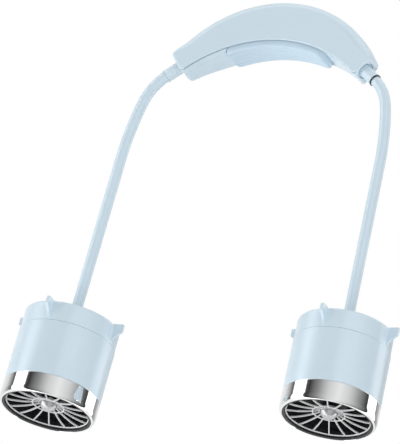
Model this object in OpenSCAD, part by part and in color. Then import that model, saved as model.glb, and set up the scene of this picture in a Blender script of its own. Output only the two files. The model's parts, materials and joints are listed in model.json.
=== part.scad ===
// Neck fan: an arched housing that rests on the neck, with a fan head hung from each end on a
// bendable leg. Millimetres, +Z up. The origin is the middle of the neck pad's inner face, the
// object is the same on both sides of X = 0, and -Y is its front, the face away from the neck's nape.

/* [Arch housing] */
// Radius of the outer face of the arch
arch_outer_r = 82.5; // [82:0.5:84]
// Height of the outer face above the pad at the middle
arch_top_z = 32; // [31.5:0.5:33]
// Radius of the inner face of the arch
arch_inner_r = 92; // [91:0.5:92.5]
// Depth of the arch from its front to its back
arch_depth = 23.5; // [23.5:0.5:26]
// Thickness of the arch's walls
arch_wall = 1.8; // [1.6:0.1:1.8]
// Rounding of the outer edges of the arch
arch_round = 4; // [3.5:0.5:5]
// Cut of the corners at the arch's ends
arch_corner = 2.6; // [2:0.2:2.8]
// Thickness of the wall at each end of the arch
end_wall = 3; // [2.8:0.1:3.2]
// Sideways place past which the back face runs forwards, so that the ends are slimmer
taper_x = 40; // [40:1:44]
// Angle at which it runs forwards, in degrees
taper_angle = 17.5; // [15:0.5:17.5]

/* [Neck pad] */
// Thickness of the pad, from the arch's inner face to the neck
pad_t = 4; // [4:0.5:4.5]
// Angle that the pad covers along the arch, in degrees
pad_angle = 44; // [40:1:46]
// Depth of the pad from front to back
pad_depth = 20.4; // [19:0.2:21.4]
// Depth of the grooves between the pad's ridges
pad_groove = 0.5; // [0.3:0.1:0.7]
// Number of ridges along the pad
pad_ridges = 5; // [3:2:7]

/* [Legs] */
// Distance of the legs' plane in front of the arch's middle
leg_front = 5; // [4.6:0.2:5]
// Sideways place of the collar's mouth
mouth_x = 73.1; // [73:0.1:73.6]
// Depth of the collar's mouth below the pad
mouth_drop = 19.8; // [19.4:0.1:19.9]
// Angle of the collar below the horizontal, in degrees
mouth_angle = 38; // [37.5:0.5:38.5]
// Length of the collar outside the arch
collar_out = 9.9; // [9.6:0.1:10.4]
// Radius of the collar
collar_r = 4; // [3.9:0.1:4]
// Radius of the leg's sleeve
sleeve_r = 3.5; // [3.4:0.1:3.5]
// Radius of the first, tight curve of the leg
curve_r = 34; // [32:1:38]
// Angle below the horizontal at which the first curve ends, in degrees
curve_angle = 76; // [74:1:78]
// Radius of the second, wide curve of the leg
sweep_r = 200; // [180:10:220]
// Outward lean of the straight leg, in degrees
splay = 2.4; // [2:0.1:3]
// Length of the leg's stiff upper length
upper_l = 34; // [30:1:36]
// Length of each bending length of the straight leg
bend_l = 24; // [22:1:28]
// Length of the leg's stiff lower length
lower_l = 31; // [28:1:34]

/* [Fan heads] */
// Height of a head from its lip to the top of its cap
head_h = 63; // [62.5:0.5:65]
// Radius of the barrel and chrome ring
head_r = 31; // [31:0.1:31.5]
// Radius of the lip that the air leaves by
lip_r = 28.8; // [28.7:0.1:28.9]
// Height of the chrome ring
chrome_h = 13; // [12.5:0.5:14]
// Height of the seam between barrel and cap above the lip
seam_h = 49.5; // [49:0.5:50]
// Radius of the cap
cap_r = 30.4; // [30.3:0.1:30.6]
// Reach of the cap's fins from the head's axis
fin_r = 37; // [36:0.5:39]
// Thickness of the cap's fins
fin_t = 2; // [1.8:0.1:2.4]
// Number of fins round the cap
fins = 4; // [3:1:6]
// Number of air slots in the cap's top
intake_slots = 24; // [24:6:30]

/* [Outlet grille] */
// Number of ribs in the grille
ribs = 16; // [12:2:18]
// Thickness of a rib
rib_t = 1; // [0.8:0.1:1.2]
// Depth of a rib along the air's way
rib_h = 1.4; // [1.2:0.1:1.6]
// Depth of the grille behind the lip
grille_recess = 1.7; // [1.6:0.1:1.9]
// Further depth of the grille at its hub
grille_dish = 3.4; // [3:0.1:3.6]
// Radius of the grille's hub
hub_r = 6.4; // [6.2:0.1:6.6]
// Height of the dome on the hub
dome_h = 4.6; // [4.2:0.1:4.6]
// Radius of the ring round the hub
inner_ring_r = 10.3; // [10:0.1:11]

/* [Impeller and motor] */
// Number of impeller blades
blades = 7; // [5:1:7]
// Radius of the impeller at its blade tips
impeller_r = 26.8; // [26:0.1:26.9]
// Radius of the impeller's hub
impeller_hub_r = 11.2; // [10.8:0.1:11.4]
// Slant of the blades' lower edges from the axis, in degrees
blade_low_angle = 15; // [10:1:20]
// Slant of the blades' upper edges from the axis, in degrees
blade_top_angle = 62; // [54:1:64]
// Radius of the motor
motor_r = 9.8; // [9.6:0.1:9.9]
// Height of the motor
motor_h = 15; // [13:0.5:16]
// Radius of the motor's shaft
shaft_r = 1; // [0.9:0.1:1]

/* [Cells and board] */
// Radius of a cell
cell_r = 6.5; // [6.4:0.1:6.5]
// Length of a cell
cell_l = 40; // [39:0.5:40]
// Sideways place of each cell's middle
cell_x = 32.5; // [32.3:0.1:32.7]
// Height of each cell's middle above the pad
cell_z = 9.2; // [9.1:0.1:9.3]
// Lean of each cell, following the arch, in degrees
cell_lean = 23.5; // [23:0.5:24]
// Width of the control board
board_w = 18; // [17:0.5:18]
// Thickness of the control board
board_t = 1.6; // [1.2:0.2:1.6]

/* [Fits] */
// Gap all round a piece that is fixed in a seat
seat_gap = 0.1; // [0.08:0.01:0.12]
// Gap all round a piece that turns or slides in another
run_gap = 0.06; // [0.05:0.01:0.08]
// Gap between the two halves of a seam
seam_gap = 0.1; // [0.05:0.05:0.15]

/* [Hidden] */

// The facets of round faces, and how far a cut runs past what it cuts
$fn = 96;
fine = 48;
over = 1;

// Colours
ice_blue = [0.78, 0.87, 0.93];
near_black = [0.12, 0.12, 0.13];
board_green = [0.12, 0.38, 0.27];
steel = [0.72, 0.73, 0.75];
chrome = [0.86, 0.87, 0.88];
white = [0.94, 0.94, 0.94];
copper = [0.75, 0.36, 0.25];
cell_wrap = [0.3, 0.55, 0.75];

// The arch's two faces are round about these heights on the Z axis
outer_c = arch_top_z - arch_outer_r;
inner_c = pad_t - arch_inner_r;
half_depth = arch_depth / 2;
leg_y = -leg_front;

// The leg's course in its plane: mouth, first curve, second curve, then straight to the cap
straight_angle = 90 - splay;
mouth = [mouth_x, -mouth_drop];
curve_c = [mouth.x - curve_r * sin(mouth_angle), mouth.y - curve_r * cos(mouth_angle)];
curve_end = [curve_c.x + curve_r * sin(curve_angle), curve_c.y + curve_r * cos(curve_angle)];
sweep_c = [curve_end.x - sweep_r * sin(curve_angle), curve_end.y - sweep_r * cos(curve_angle)];
sweep_end = [sweep_c.x + sweep_r * sin(straight_angle), sweep_c.y + sweep_r * cos(straight_angle)];
ferrule_out = 1.2;
sleeve_head_in = 5;
straight_l = upper_l + bend_l + lower_l + bend_l + ferrule_out;
// Places down the straight leg, measured from the end of the second curve
upper_end = upper_l;
middle_end = upper_end + bend_l;
lower_end = middle_end + lower_l;
ankle_end = straight_l + sleeve_head_in - seam_gap / 2;
lip_down = straight_l + head_h;
lip = [sweep_end.x + lip_down * sin(splay), sweep_end.y - lip_down * cos(splay)];

// Sizes of the leg's layers
sleeve_bore = 2.4;
core_r = sleeve_bore - seat_gap;
core_bore = 1.4;
seal_h = 1;
seal_r = collar_r + seat_gap;
collar_bore = sleeve_r + seat_gap;
sleeve_in = 6;
flange_r = 4.5;
flange_t = 1.6;
flange_at = collar_out + end_wall + seat_gap;
collar_in = 20;
saddle_t = 1.5;
saddle_at = 17;
end_dish_r = 5.2;
end_dish_t = 1.2;

// Sizes of the fan head, up its axis from the lip
chrome_lip = 1.2;
chrome_t = 1.6;
duct_r = 27.7;
spigot_r = head_r - chrome_t - seat_gap;
lip_ring_h = 3.95;
lip_ring_r = 27.25;
grille_r = lip_ring_r - seat_gap;
flange_low = lip_ring_h + seat_gap / 2;
grille_flange_h = 1.2;
spigot_low = flange_low + grille_flange_h + seat_gap / 2;
duct_top = 24;
bowl_r = 28.7;
strut_low = 26;
strut_top = 40;
strut_t = 1.8;
struts = 6;
cup_wall = 1.7;
cup_floor = 1.5;
cup_top = 41;
cap_wall = 1.8;
cap_skirt = 6;
cap_top_t = 2;
cap_boss_r = 6.6;
post_at = 20;
post_r = 2.4;
posts = 3;
screw_r = 1;
screw_head_r = 1.9;
screw_head_h = 1.3;
boss_t = 4;
impeller_low = 9;
impeller_top = 21.5;
motor_low = strut_low;
motor_top = motor_low + motor_h;
ferrule_r = 4.5;
ferrule_in = 8;
ferrule_low = head_h - ferrule_in;
ferrule_flange_r = 5.4;
ferrule_flange_t = 1.1;

// Sizes inside the arch
board_y = 3;
board_low = 8;
board_top = 28;
board_back = board_y + board_t;
wall_back = half_depth - arch_wall;
usb_w = 8.94;
usb_t = 3.26;
usb_wall = 0.3;
usb_z = 11.3;
usb_proud = 0.4;
button_z = 19.6;
button_r = 4.4;
button_flange_r = 5.2;
button_flange_t = 1;
button_travel = 0.8;
button_proud = 0.9;
switch_w = 4.5;
switch_t = 2.4;
plunger_r = 1;
light_z = 26.6;
light_r = 0.9;
light_proud = 0.2;
board_post_r = 1.8;
board_post_x = 7;
board_post_low = 14.6;
board_post_top = 25.2;
small_screw_r = 0.7;
small_head_r = 1.4;
small_head_h = 0.9;
small_screw_l = 4;
shell_boss_r = 3;
shell_boss_inner = [18.5, 26];
shell_boss_outer = [61, -1.2];
shell_screw_tip = 7.6;
lead_r = 0.8;
lead_ahead = 3.3;
lead_bend = 5;
lead_in = 6.5;
cell_y = -0.6;
saddle_reach = 14;
core_head_in = 7;

// A ring-shaped profile's axis turned from Z to Y; the profile's height then runs to the front
module about_y() rotate([90, 0, 0]) children();
module on_side(left) mirror([left ? 1 : 0, 0, 0]) children();

// The collar's frame: +Z runs out of the arch along the leg, and Z = 0 is the collar's mouth
module at_mouth() translate([mouth.x, leg_y, mouth.y]) rotate([0, 90 + mouth_angle, 0]) children();
// The straight leg's frame: +Z runs down the leg from the end of the second curve
module at_straight() translate([sweep_end.x, leg_y, sweep_end.y]) rotate([0, 180 - splay, 0]) children();
// A head's frame: Z = 0 is the lip, +Z runs up to the cap; both heads are the same part
module at_head(left)
    translate([left ? -lip.x : lip.x, leg_y, lip.y]) rotate([0, left ? splay : -splay, 0]) children();

module tube(r, bore, h) difference() {
    cylinder(r = r, h = h);
    translate([0, 0, -over]) cylinder(r = bore, h = h + 2 * over);
}

// How far the end face runs from the collar's axis to a round face of the arch, upwards positive
end_dir = [sin(mouth_angle), cos(mouth_angle)];
end_mid = [mouth.x - collar_out * cos(mouth_angle), mouth.y + collar_out * sin(mouth_angle)];
function end_reach(centre_z, r) =
    let (v = [end_mid.x, end_mid.y - centre_z], b = v * end_dir)
    sqrt(b * b - v * v + r * r) - b;
end_corners = [end_reach(outer_c, arch_outer_r), end_reach(inner_c, arch_inner_r)];

// What lies beyond an end of the arch: all past a flat face square to the collar, and its two corners
module arch_end_cut(end_inset) at_mouth() translate([0, 0, -collar_out - end_inset]) {
    translate([-arch_outer_r, -arch_depth, 0]) cube([2 * arch_outer_r, 2 * arch_depth, arch_outer_r]);
    for (corner = end_corners) translate([-corner, 0, 0]) rotate([0, 45, 0])
        cube([arch_corner * sqrt(2), 2 * arch_depth, arch_corner * sqrt(2)], center = true);
}

// The arch as one solid, its faces moved inwards by inset and its end faces by end_inset
module arch_solid(inset = 0, end_inset = 0) {
    r = arch_outer_r - inset;
    d = half_depth - inset;
    edge = arch_round - inset;
    difference() {
        translate([0, 0, outer_c]) about_y() rotate_extrude() {
            translate([0, edge - d]) square([r, 2 * (d - edge)]);
            translate([0, -d]) square([r - edge, 2 * d]);
            for (side = [-1, 1]) translate([r - edge, side * (d - edge)]) circle(edge, $fn = fine);
        }
        translate([0, half_depth + over, inner_c]) about_y()
            cylinder(r = arch_inner_r + inset, h = arch_depth + 2 * over);
        for (left = [false, true]) on_side(left) {
            arch_end_cut(end_inset);
            translate([taper_x, half_depth, 0]) rotate([0, 0, -taper_angle])
                translate([-arch_outer_r, -inset, -arch_outer_r]) cube(2 * arch_outer_r);
        }
    }
}

// The space in front of the seam, or behind it
module in_front() translate([-arch_outer_r, -arch_depth, -arch_outer_r])
    cube([2 * arch_outer_r, arch_depth + leg_y - seam_gap / 2, 2 * arch_outer_r]);
module behind() translate([-arch_outer_r, leg_y + seam_gap / 2, -arch_outer_r])
    cube([2 * arch_outer_r, arch_depth, 2 * arch_outer_r]);

module at_cell() translate([cell_x, cell_y, cell_z]) rotate([0, 90 + cell_lean, 0]) children();
// A plate square to the axis of what it holds, as wide as the arch; the arch trims it
module web(at) translate([-arch_depth, -arch_depth, at]) cube([2 * arch_depth, 2 * arch_depth, saddle_t]);

// The back face's place, the places of the shell screws' heads on it, and a round piece that runs forwards
function back_at(x) = half_depth - max(0, x - taper_x) * tan(taper_angle);
shell_screw_places = [for (p = [shell_boss_inner, shell_boss_outer], side = [-1, 1])
    [side * p.x, p.y, back_at(p.x + screw_head_r)]];
module from_back(y, p) translate([p.x, y, p.y]) about_y() children();

// The webs that hold the cells and collars, and the bosses that the shell screws go through
module arch_inside() difference() {
    intersection() {
        arch_solid(arch_wall / 2, end_wall / 2);
        union() {
            for (left = [false, true]) on_side(left) {
                at_cell() for (at = [-saddle_reach, saddle_reach - saddle_t]) web(at);
                at_mouth() web(-saddle_at - saddle_t);
            }
            for (p = shell_screw_places) from_back(half_depth, p) cylinder(r = shell_boss_r, h = arch_depth);
        }
    }
    for (left = [false, true]) on_side(left) {
        at_cell() translate([0, 0, -cell_l / 2]) cylinder(r = cell_r + seat_gap, h = cell_l);
        at_cell() translate([0, lead_front - cell_y, -cell_l / 2]) cylinder(r = 2 * lead_r, h = cell_l);
    }
}

module arch_shell() difference() {
    union() {
        difference() {
            arch_solid();
            arch_solid(arch_wall, end_wall);
        }
        arch_inside();
    }
    for (left = [false, true]) on_side(left) at_mouth() {
        translate([0, 0, -collar_in - over]) cylinder(r = collar_r + seat_gap, h = collar_in + over);
        translate([0, 0, -collar_out - end_dish_t]) cylinder(r = end_dish_r, h = collar_out);
    }
}

module front_shell() color(ice_blue) difference() {
    intersection() {
        arch_shell();
        in_front();
    }
    for (p = shell_screw_places) from_back(half_depth, p)
        cylinder(r = screw_r + run_gap, h = half_depth + shell_screw_tip + screw_head_h);
}

module rear_shell() color(ice_blue) difference() {
    union() {
        intersection() {
            arch_shell();
            behind();
        }
        for (x = [-board_post_x, board_post_x], z = [board_post_low, board_post_top])
            from_back(half_depth - arch_wall / 2, [x, z])
            cylinder(r = board_post_r, h = half_depth - arch_wall / 2 - board_back);
    }
    for (p = shell_screw_places) from_back(half_depth + over, p) {
        cylinder(r = screw_r + seat_gap, h = arch_depth);
        cylinder(r = screw_head_r + seat_gap, h = half_depth + over - p.z + screw_head_h + seat_gap);
    }
    for (p = board_screw_places) from_back(board_back + small_screw_l, p)
        cylinder(r = small_screw_r + run_gap, h = small_screw_l);
    from_back(half_depth + over, [0, button_z]) cylinder(r = button_r + run_gap, h = arch_wall + 2 * over);
    from_back(half_depth + over, [0, light_z]) cylinder(r = light_r + seat_gap, h = arch_wall + 2 * over);
    from_back(half_depth + over, [0, usb_z]) linear_extrude(arch_wall + 2 * over)
        slot_2d(usb_w + 2 * seat_gap, usb_t + 2 * seat_gap);
}

// A flat shape with straight sides and round ends
module slot_2d(w, t) {
    square([w - t, t], center = true);
    for (side = [-1, 1]) translate([side * (w - t) / 2, 0]) circle(t / 2, $fn = fine);
}

// The pad's section: how far its inner face lies behind the ridges' tops, h from its middle
pad_edge = 1.5;
pad_steps = 40;
function pad_dip(h) =
    let (e = max(0, abs(h) - pad_depth / 2 + pad_edge), wave = 1 - cos(360 * h * pad_ridges / pad_depth))
    pad_groove * wave / 2 + pad_edge - sqrt(pad_edge * pad_edge - e * e);

module neck_pad() color(ice_blue) translate([0, 0, inner_c]) rotate([0, pad_angle / 2 - 90, 0]) about_y()
    rotate_extrude(angle = pad_angle) polygon(concat(
        [for (i = [0:pad_steps]) let (h = pad_depth * (i / pad_steps - 1 / 2))
            [arch_inner_r - pad_t + pad_dip(h), h]],
        [for (side = [1, -1]) [arch_inner_r - seat_gap / 2, side * pad_depth / 2]]));

cell_tip_r = 2.4;
cell_tip_h = 1;
module cell() color(cell_wrap) at_cell() translate([0, 0, -cell_l / 2]) {
    cylinder(r = cell_r, h = cell_l - cell_tip_h);
    cylinder(r = cell_tip_r, h = cell_l);
}
module left_cell() on_side(true) cell();
module right_cell() cell();

board_screw_places = [[-board_post_x, board_post_top], [board_post_x, board_post_low]];
module control_board() color(board_green) difference() {
    translate([-board_w / 2, board_y, board_low]) cube([board_w, board_t, board_top - board_low]);
    for (p = board_screw_places) from_back(board_back + over, p)
        cylinder(r = small_screw_r + seat_gap, h = board_t + 2 * over);
}

module board_screws() color(steel) for (p = board_screw_places) {
    from_back(board_y, p) cylinder(r = small_head_r, h = small_head_h);
    from_back(board_back + small_screw_l - over, p)
        cylinder(r = small_screw_r, h = small_screw_l - over + board_t + small_head_h / 2);
}

module housing_screws() color(steel) for (p = shell_screw_places) {
    from_back(p.z, p) cylinder(r = screw_head_r, h = screw_head_h);
    from_back(p.z, p) cylinder(r = screw_r, h = p.z + shell_screw_tip);
}

// The socket: a shell round a tongue, both on a floor that sits on the board
usb_h = half_depth - usb_proud - board_back;
usb_floor = 0.6;
usb_tongue = [6.7, 0.65];
module usb_socket() color(steel) {
    from_back(half_depth - usb_proud, [0, usb_z]) linear_extrude(usb_h) difference() {
        slot_2d(usb_w, usb_t);
        slot_2d(usb_w - 2 * usb_wall, usb_t - 2 * usb_wall);
    }
    from_back(board_back + usb_floor, [0, usb_z]) linear_extrude(usb_floor)
        slot_2d(usb_w - usb_wall, usb_t - usb_wall);
    from_back(half_depth - over, [0, usb_z]) linear_extrude(half_depth - over - board_back)
        square(usb_tongue, center = true);
}

stem_in = 0.5;
module button_switch() color(near_black) difference() {
    translate([-switch_w / 2, board_back, button_z - switch_w / 2]) cube([switch_w, switch_t, switch_w]);
    from_back(board_back + switch_t + over, [0, button_z])
        cylinder(r = plunger_r + run_gap, h = over + 2 * button_travel);
}

module power_button() color(ice_blue) {
    from_back(half_depth + button_proud, [0, button_z])
        cylinder(r = button_r, h = button_proud + arch_wall + 2 * seat_gap);
    from_back(wall_back - seat_gap, [0, button_z]) cylinder(r = button_flange_r, h = button_flange_t);
    from_back(wall_back - button_flange_t, [0, button_z])
        cylinder(r = plunger_r, h = wall_back - button_flange_t - board_back - switch_t + stem_in);
}

module status_light() color(white) from_back(half_depth + light_proud, [0, light_z])
    cylinder(r = light_r, h = half_depth + light_proud - board_back - seam_gap / 2);

// A round lead through the given points, smoothed, as one closed skin
lead_sides = 6;
lead_steps = 4;
function curve_point(p, i, t) =
    let (a = p[max(i - 1, 0)], b = p[i], c = p[i + 1], d = p[min(i + 2, len(p) - 1)])
    (2 * b + (c - a) * t + (2 * a - 5 * b + 4 * c - d) * t * t + (3 * b - a - 3 * c + d) * t * t * t) / 2;
function smooth_course(p) = concat(
    [for (i = [0:len(p) - 2], k = [0:lead_steps - 1]) curve_point(p, i, k / lead_steps)], [p[len(p) - 1]]);
function unit(v) = v / norm(v);
aside = [0, 1, 0];
module smooth_tube(corners, r) {
    p = smooth_course(corners);
    last = len(p) - 1;
    skin([for (i = [0:last])
        let (t = unit(p[min(i + 1, last)] - p[max(i - 1, 0)]), u = unit(cross(t, aside)), v = cross(t, u))
        [for (k = [0:lead_sides - 1]) let (a = 360 * k / lead_sides) p[i] + r * (cos(a) * u + sin(a) * v)]]);
}

// A closed solid through a row of rings of as many points, which run anticlockwise seen from the last ring
module skin(rings) {
    n = len(rings[0]);
    last = len(rings) - 1;
    sides = [for (i = [0:last - 1], k = [0:n - 1]) let (m = (k + 1) % n)
        [i * n + k, i * n + k + n, i * n + m + n, i * n + m]];
    polyhedron([for (ring = rings) each ring], concat(sides,
        [[for (k = [0:n - 1]) k], [for (k = [n - 1:-1:0]) last * n + k]]));
}

// The leads' way from the board over the front of a cell and into the leg's core
lead_front = leg_y - lead_ahead;
function along_cell(z) = [cell_x + z * cos(cell_lean), lead_front, cell_z - z * sin(cell_lean)];
function down_mouth(z) = [mouth.x + z * cos(mouth_angle), leg_y, mouth.y - z * sin(mouth_angle)];
arch_lead_points = [
    [board_w / 3, board_y - lead_r - seam_gap / 2, board_top - lead_in],
    [board_w / 2 + over, board_y - lead_bend, board_top - lead_in],
    along_cell(-cell_l / 2 - 2 * lead_r) + [0, lead_r, 2 * lead_r],
    along_cell(-saddle_reach),
    along_cell(0),
    along_cell(saddle_reach),
    along_cell(saddle_reach + lead_bend) + [0, lead_r, -3 * lead_r],
    down_mouth(-collar_in - lead_bend / 2),
    down_mouth(-collar_in - over),
    down_mouth(-saddle_at)];
module motor_leads() color(copper) for (left = [false, true]) on_side(left)
    smooth_tube(arch_lead_points, lead_r);

// The leg, from the arch down
module collar() color(ice_blue) at_mouth() difference() {
    union() {
        translate([0, 0, -collar_in]) cylinder(r = collar_r, h = collar_in);
        translate([0, 0, -flange_at - flange_t]) cylinder(r = flange_r, h = flange_t);
    }
    translate([0, 0, -sleeve_in]) cylinder(r = collar_bore, h = sleeve_in + over);
    translate([0, 0, -collar_in - over]) cylinder(r = core_r + seat_gap, h = collar_in + over);
}
module left_collar() on_side(true) collar();
module right_collar() collar();

module seal_ring() at_mouth() translate([0, 0, seat_gap / 2]) tube(seal_r, collar_bore, seal_h);
module left_seal_ring() color(ice_blue) on_side(true) seal_ring();
module right_seal_ring() color(near_black) seal_ring();

// A round solid along the leg's two curves, from a place inside the collar to one down the straight part.
// Neighbouring lengths lap, and every other one is thinner by a hair, so that no two faces run together
lap = 0.3;
lap_angle = 0.1;
hair = 0.02;
module course(r, in_collar, down_straight) {
    at_mouth() translate([0, 0, -in_collar]) cylinder(r = r - hair, h = in_collar + lap);
    translate([curve_c.x, leg_y, curve_c.y]) rotate([0, curve_angle - 90, 0]) about_y()
        rotate_extrude(angle = curve_angle - mouth_angle) translate([curve_r, 0]) circle(r, $fn = fine);
    translate([sweep_c.x, leg_y, sweep_c.y]) rotate([0, straight_angle - 90, 0]) about_y()
        rotate_extrude(angle = straight_angle - curve_angle + lap_angle)
        translate([sweep_r, 0]) circle(r - hair, $fn = fine);
    if (down_straight > 0) at_straight() translate([0, 0, -lap]) cylinder(r = r, h = down_straight + lap);
}
module curved_layer(r, bore, in_collar, down_straight) difference() {
    course(r, in_collar, down_straight);
    course(bore, in_collar + over, down_straight + over);
}
module straight(r, bore, from, to) at_straight() translate([0, 0, from]) tube(r, bore, to - from);

module shoulder_sleeve() color(ice_blue) curved_layer(sleeve_r, sleeve_bore, sleeve_in, 0);
module left_shoulder_sleeve() on_side(true) shoulder_sleeve();
module right_shoulder_sleeve() shoulder_sleeve();
module upper_sleeve() color(ice_blue) straight(sleeve_r, sleeve_bore, 0, upper_end);
module left_upper_sleeve() on_side(true) upper_sleeve();
module right_upper_sleeve() upper_sleeve();
module middle_sleeve() color(ice_blue) straight(sleeve_r, sleeve_bore, upper_end, middle_end);
module left_middle_sleeve() on_side(true) middle_sleeve();
module right_middle_sleeve() middle_sleeve();
module lower_sleeve() color(ice_blue) straight(sleeve_r, sleeve_bore, middle_end, lower_end);
module left_lower_sleeve() on_side(true) lower_sleeve();
module right_lower_sleeve() lower_sleeve();
module ankle_sleeve() color(ice_blue) straight(sleeve_r, sleeve_bore, lower_end, ankle_end);
module left_ankle_sleeve() on_side(true) ankle_sleeve();
module right_ankle_sleeve() ankle_sleeve();

module upper_core() color(steel) curved_layer(core_r, core_bore, collar_in - seam_gap, upper_end / 2);
module left_upper_core() on_side(true) upper_core();
module right_upper_core() upper_core();
module middle_core() color(steel) straight(core_r, core_bore, upper_end / 2, (middle_end + lower_end) / 2);
module left_middle_core() on_side(true) middle_core();
module right_middle_core() middle_core();
module lower_core() color(steel)
    straight(core_r, core_bore, (middle_end + lower_end) / 2, straight_l + core_head_in);
module left_lower_core() on_side(true) lower_core();
module right_lower_core() lower_core();

// The fan head, in its own frame
module ferrule() color(steel) difference() {
    union() {
        translate([0, 0, ferrule_low]) cylinder(r = ferrule_r, h = head_h + ferrule_out - ferrule_low);
        translate([0, 0, ferrule_low - ferrule_flange_t])
            cylinder(r = ferrule_flange_r, h = ferrule_flange_t);
    }
    translate([0, 0, head_h - sleeve_head_in]) cylinder(r = collar_bore, h = head_h);
    translate([0, 0, ferrule_low - head_h]) cylinder(r = core_r + seat_gap, h = 2 * head_h);
}
module left_ferrule() at_head(true) ferrule();
module right_ferrule() at_head(false) ferrule();

cap_in_r = bowl_r - seat_gap;
cap_edge = 2;
post_turn = 60;
module at_posts() for (i = [0:posts - 1]) rotate([0, 0, post_turn + 360 * i / posts])
    translate([post_at, 0, 0]) children();

// A fin's outline: an upright edge, a slanting underside, and a foot that runs down the cap
fin_edge_h = 5;
fin_foot = 2.2;
fin_foot_drop = 8.6;
fin_drop = 12.2;
fin_bevel = 0.8;
module fin() rotate([90, 0, 0]) translate([0, 0, -fin_t / 2]) linear_extrude(fin_t) polygon([
    [cap_r - cap_wall / 2, head_h], [fin_r - fin_bevel, head_h], [fin_r, head_h - fin_bevel],
    [fin_r, head_h - fin_edge_h], [fin_r - fin_bevel, head_h - fin_edge_h - fin_bevel],
    [cap_r + fin_foot, head_h - fin_foot_drop], [cap_r, head_h - fin_drop],
    [cap_r - cap_wall / 2, head_h - fin_drop]]);

module cap() color(ice_blue) difference() {
    union() {
        difference() {
            rotate_extrude() polygon(concat(
                [[0, head_h], [0, head_h - cap_top_t], [cap_in_r - cap_wall, head_h - cap_top_t],
                [cap_in_r - cap_wall, seam_h - cap_skirt], [cap_in_r, seam_h - cap_skirt],
                [cap_in_r, seam_h + seam_gap / 2], [cap_r, seam_h + seam_gap / 2]],
                [for (a = [0:15:90]) [cap_r - cap_edge * (1 - cos(a)), head_h - cap_edge * (1 - sin(a))]]));
            for (i = [0:intake_slots - 1]) rotate([0, 0, 360 * (i + 1 / 2) / intake_slots])
                translate([2 * cap_boss_r, -fin_t / 2, head_h - cap_top_t - over])
                cube([cap_in_r - cap_wall - 2 * cap_boss_r - fin_t / 2, fin_t, cap_top_t + 2 * over]);
        }
        for (i = [0:fins - 1]) rotate([0, 0, 360 * i / fins]) fin();
        translate([0, 0, ferrule_low + seat_gap])
            cylinder(r = cap_boss_r, h = head_h - ferrule_low - cap_top_t / 2);
        at_posts() translate([0, 0, head_h - boss_t]) cylinder(r = post_r + cap_wall / 2, h = boss_t);
    }
    cylinder(r = ferrule_r + seat_gap, h = 2 * head_h);
    at_posts() {
        cylinder(r = screw_r + seat_gap, h = 2 * head_h);
        translate([0, 0, head_h - screw_head_h - seat_gap])
            cylinder(r = screw_head_r + seat_gap, h = 2 * screw_head_h);
    }
}
module left_cap() at_head(true) cap();
module right_cap() at_head(false) cap();

cap_screw_l = 8;
module cap_screws() color(steel) at_posts() {
    translate([0, 0, head_h - screw_head_h]) cylinder(r = screw_head_r, h = screw_head_h - seat_gap);
    translate([0, 0, head_h - screw_head_h - cap_screw_l])
        cylinder(r = screw_r, h = cap_screw_l + screw_head_h / 2);
}
module left_cap_screws() at_head(true) cap_screws();
module right_cap_screws() at_head(false) cap_screws();

// The barrel: a duct round the impeller, a bowl above it, and vanes that carry the motor's cup and the posts
seam_step = 0.4;
cup_hole_r = 3.2;
module barrel() color(ice_blue) difference() {
    union() {
        rotate_extrude() polygon([[duct_r, spigot_low], [spigot_r, spigot_low],
            [spigot_r, chrome_h + seat_gap / 2], [head_r, chrome_h + seat_gap / 2],
            [cap_r + seam_step, seam_h - seam_gap / 2], [bowl_r, seam_h - seam_gap / 2],
            [bowl_r, duct_top + over], [duct_r, duct_top]]);
        translate([0, 0, strut_low - cup_floor])
            cylinder(r = motor_r + seat_gap + cup_wall, h = cup_top - strut_low + cup_floor);
        for (i = [0:struts - 1]) rotate([0, 0, 360 * i / struts])
            translate([motor_r + cup_wall / 2, -strut_t / 2, strut_low])
            cube([bowl_r - motor_r, strut_t, strut_top - strut_low]);
        at_posts() translate([0, 0, strut_top - over])
            cylinder(r = post_r, h = head_h - boss_t - seam_gap - strut_top + over);
    }
    translate([0, 0, strut_low - seat_gap / 2]) cylinder(r = motor_r + seat_gap, h = head_h);
    cylinder(r = cup_hole_r, h = strut_low + over);
    at_posts() translate([0, 0, head_h - cap_screw_l - 2 * screw_head_h])
        cylinder(r = screw_r + run_gap, h = cap_screw_l);
}
module left_barrel() at_head(true) barrel();
module right_barrel() at_head(false) barrel();

lip_curl = 4;
lip_flat = 0.6;
module chrome_ring() color(chrome) rotate_extrude() polygon(concat(
    [for (a = [0:9:90]) [lip_r + lip_flat + (head_r - lip_r - lip_flat) * sin(a), lip_curl * (1 - cos(a))]],
    [[head_r, chrome_h], [head_r - chrome_t, chrome_h], [head_r - chrome_t, chrome_lip],
    [lip_r, chrome_lip], [lip_r, 0]]));
module left_chrome_ring() at_head(true) chrome_ring();
module right_chrome_ring() at_head(false) chrome_ring();

nose_low = 0.3;
nose_r = lip_r - seat_gap - seam_gap / 2;
module lip_ring() color(near_black) rotate_extrude() polygon([[lip_ring_r, nose_low], [nose_r, nose_low],
    [nose_r, chrome_lip + seat_gap / 2], [spigot_r, chrome_lip + seat_gap / 2],
    [spigot_r, lip_ring_h], [lip_ring_r, lip_ring_h]]);
module left_lip_ring() at_head(true) lip_ring();
module right_lip_ring() at_head(false) lip_ring();

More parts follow.
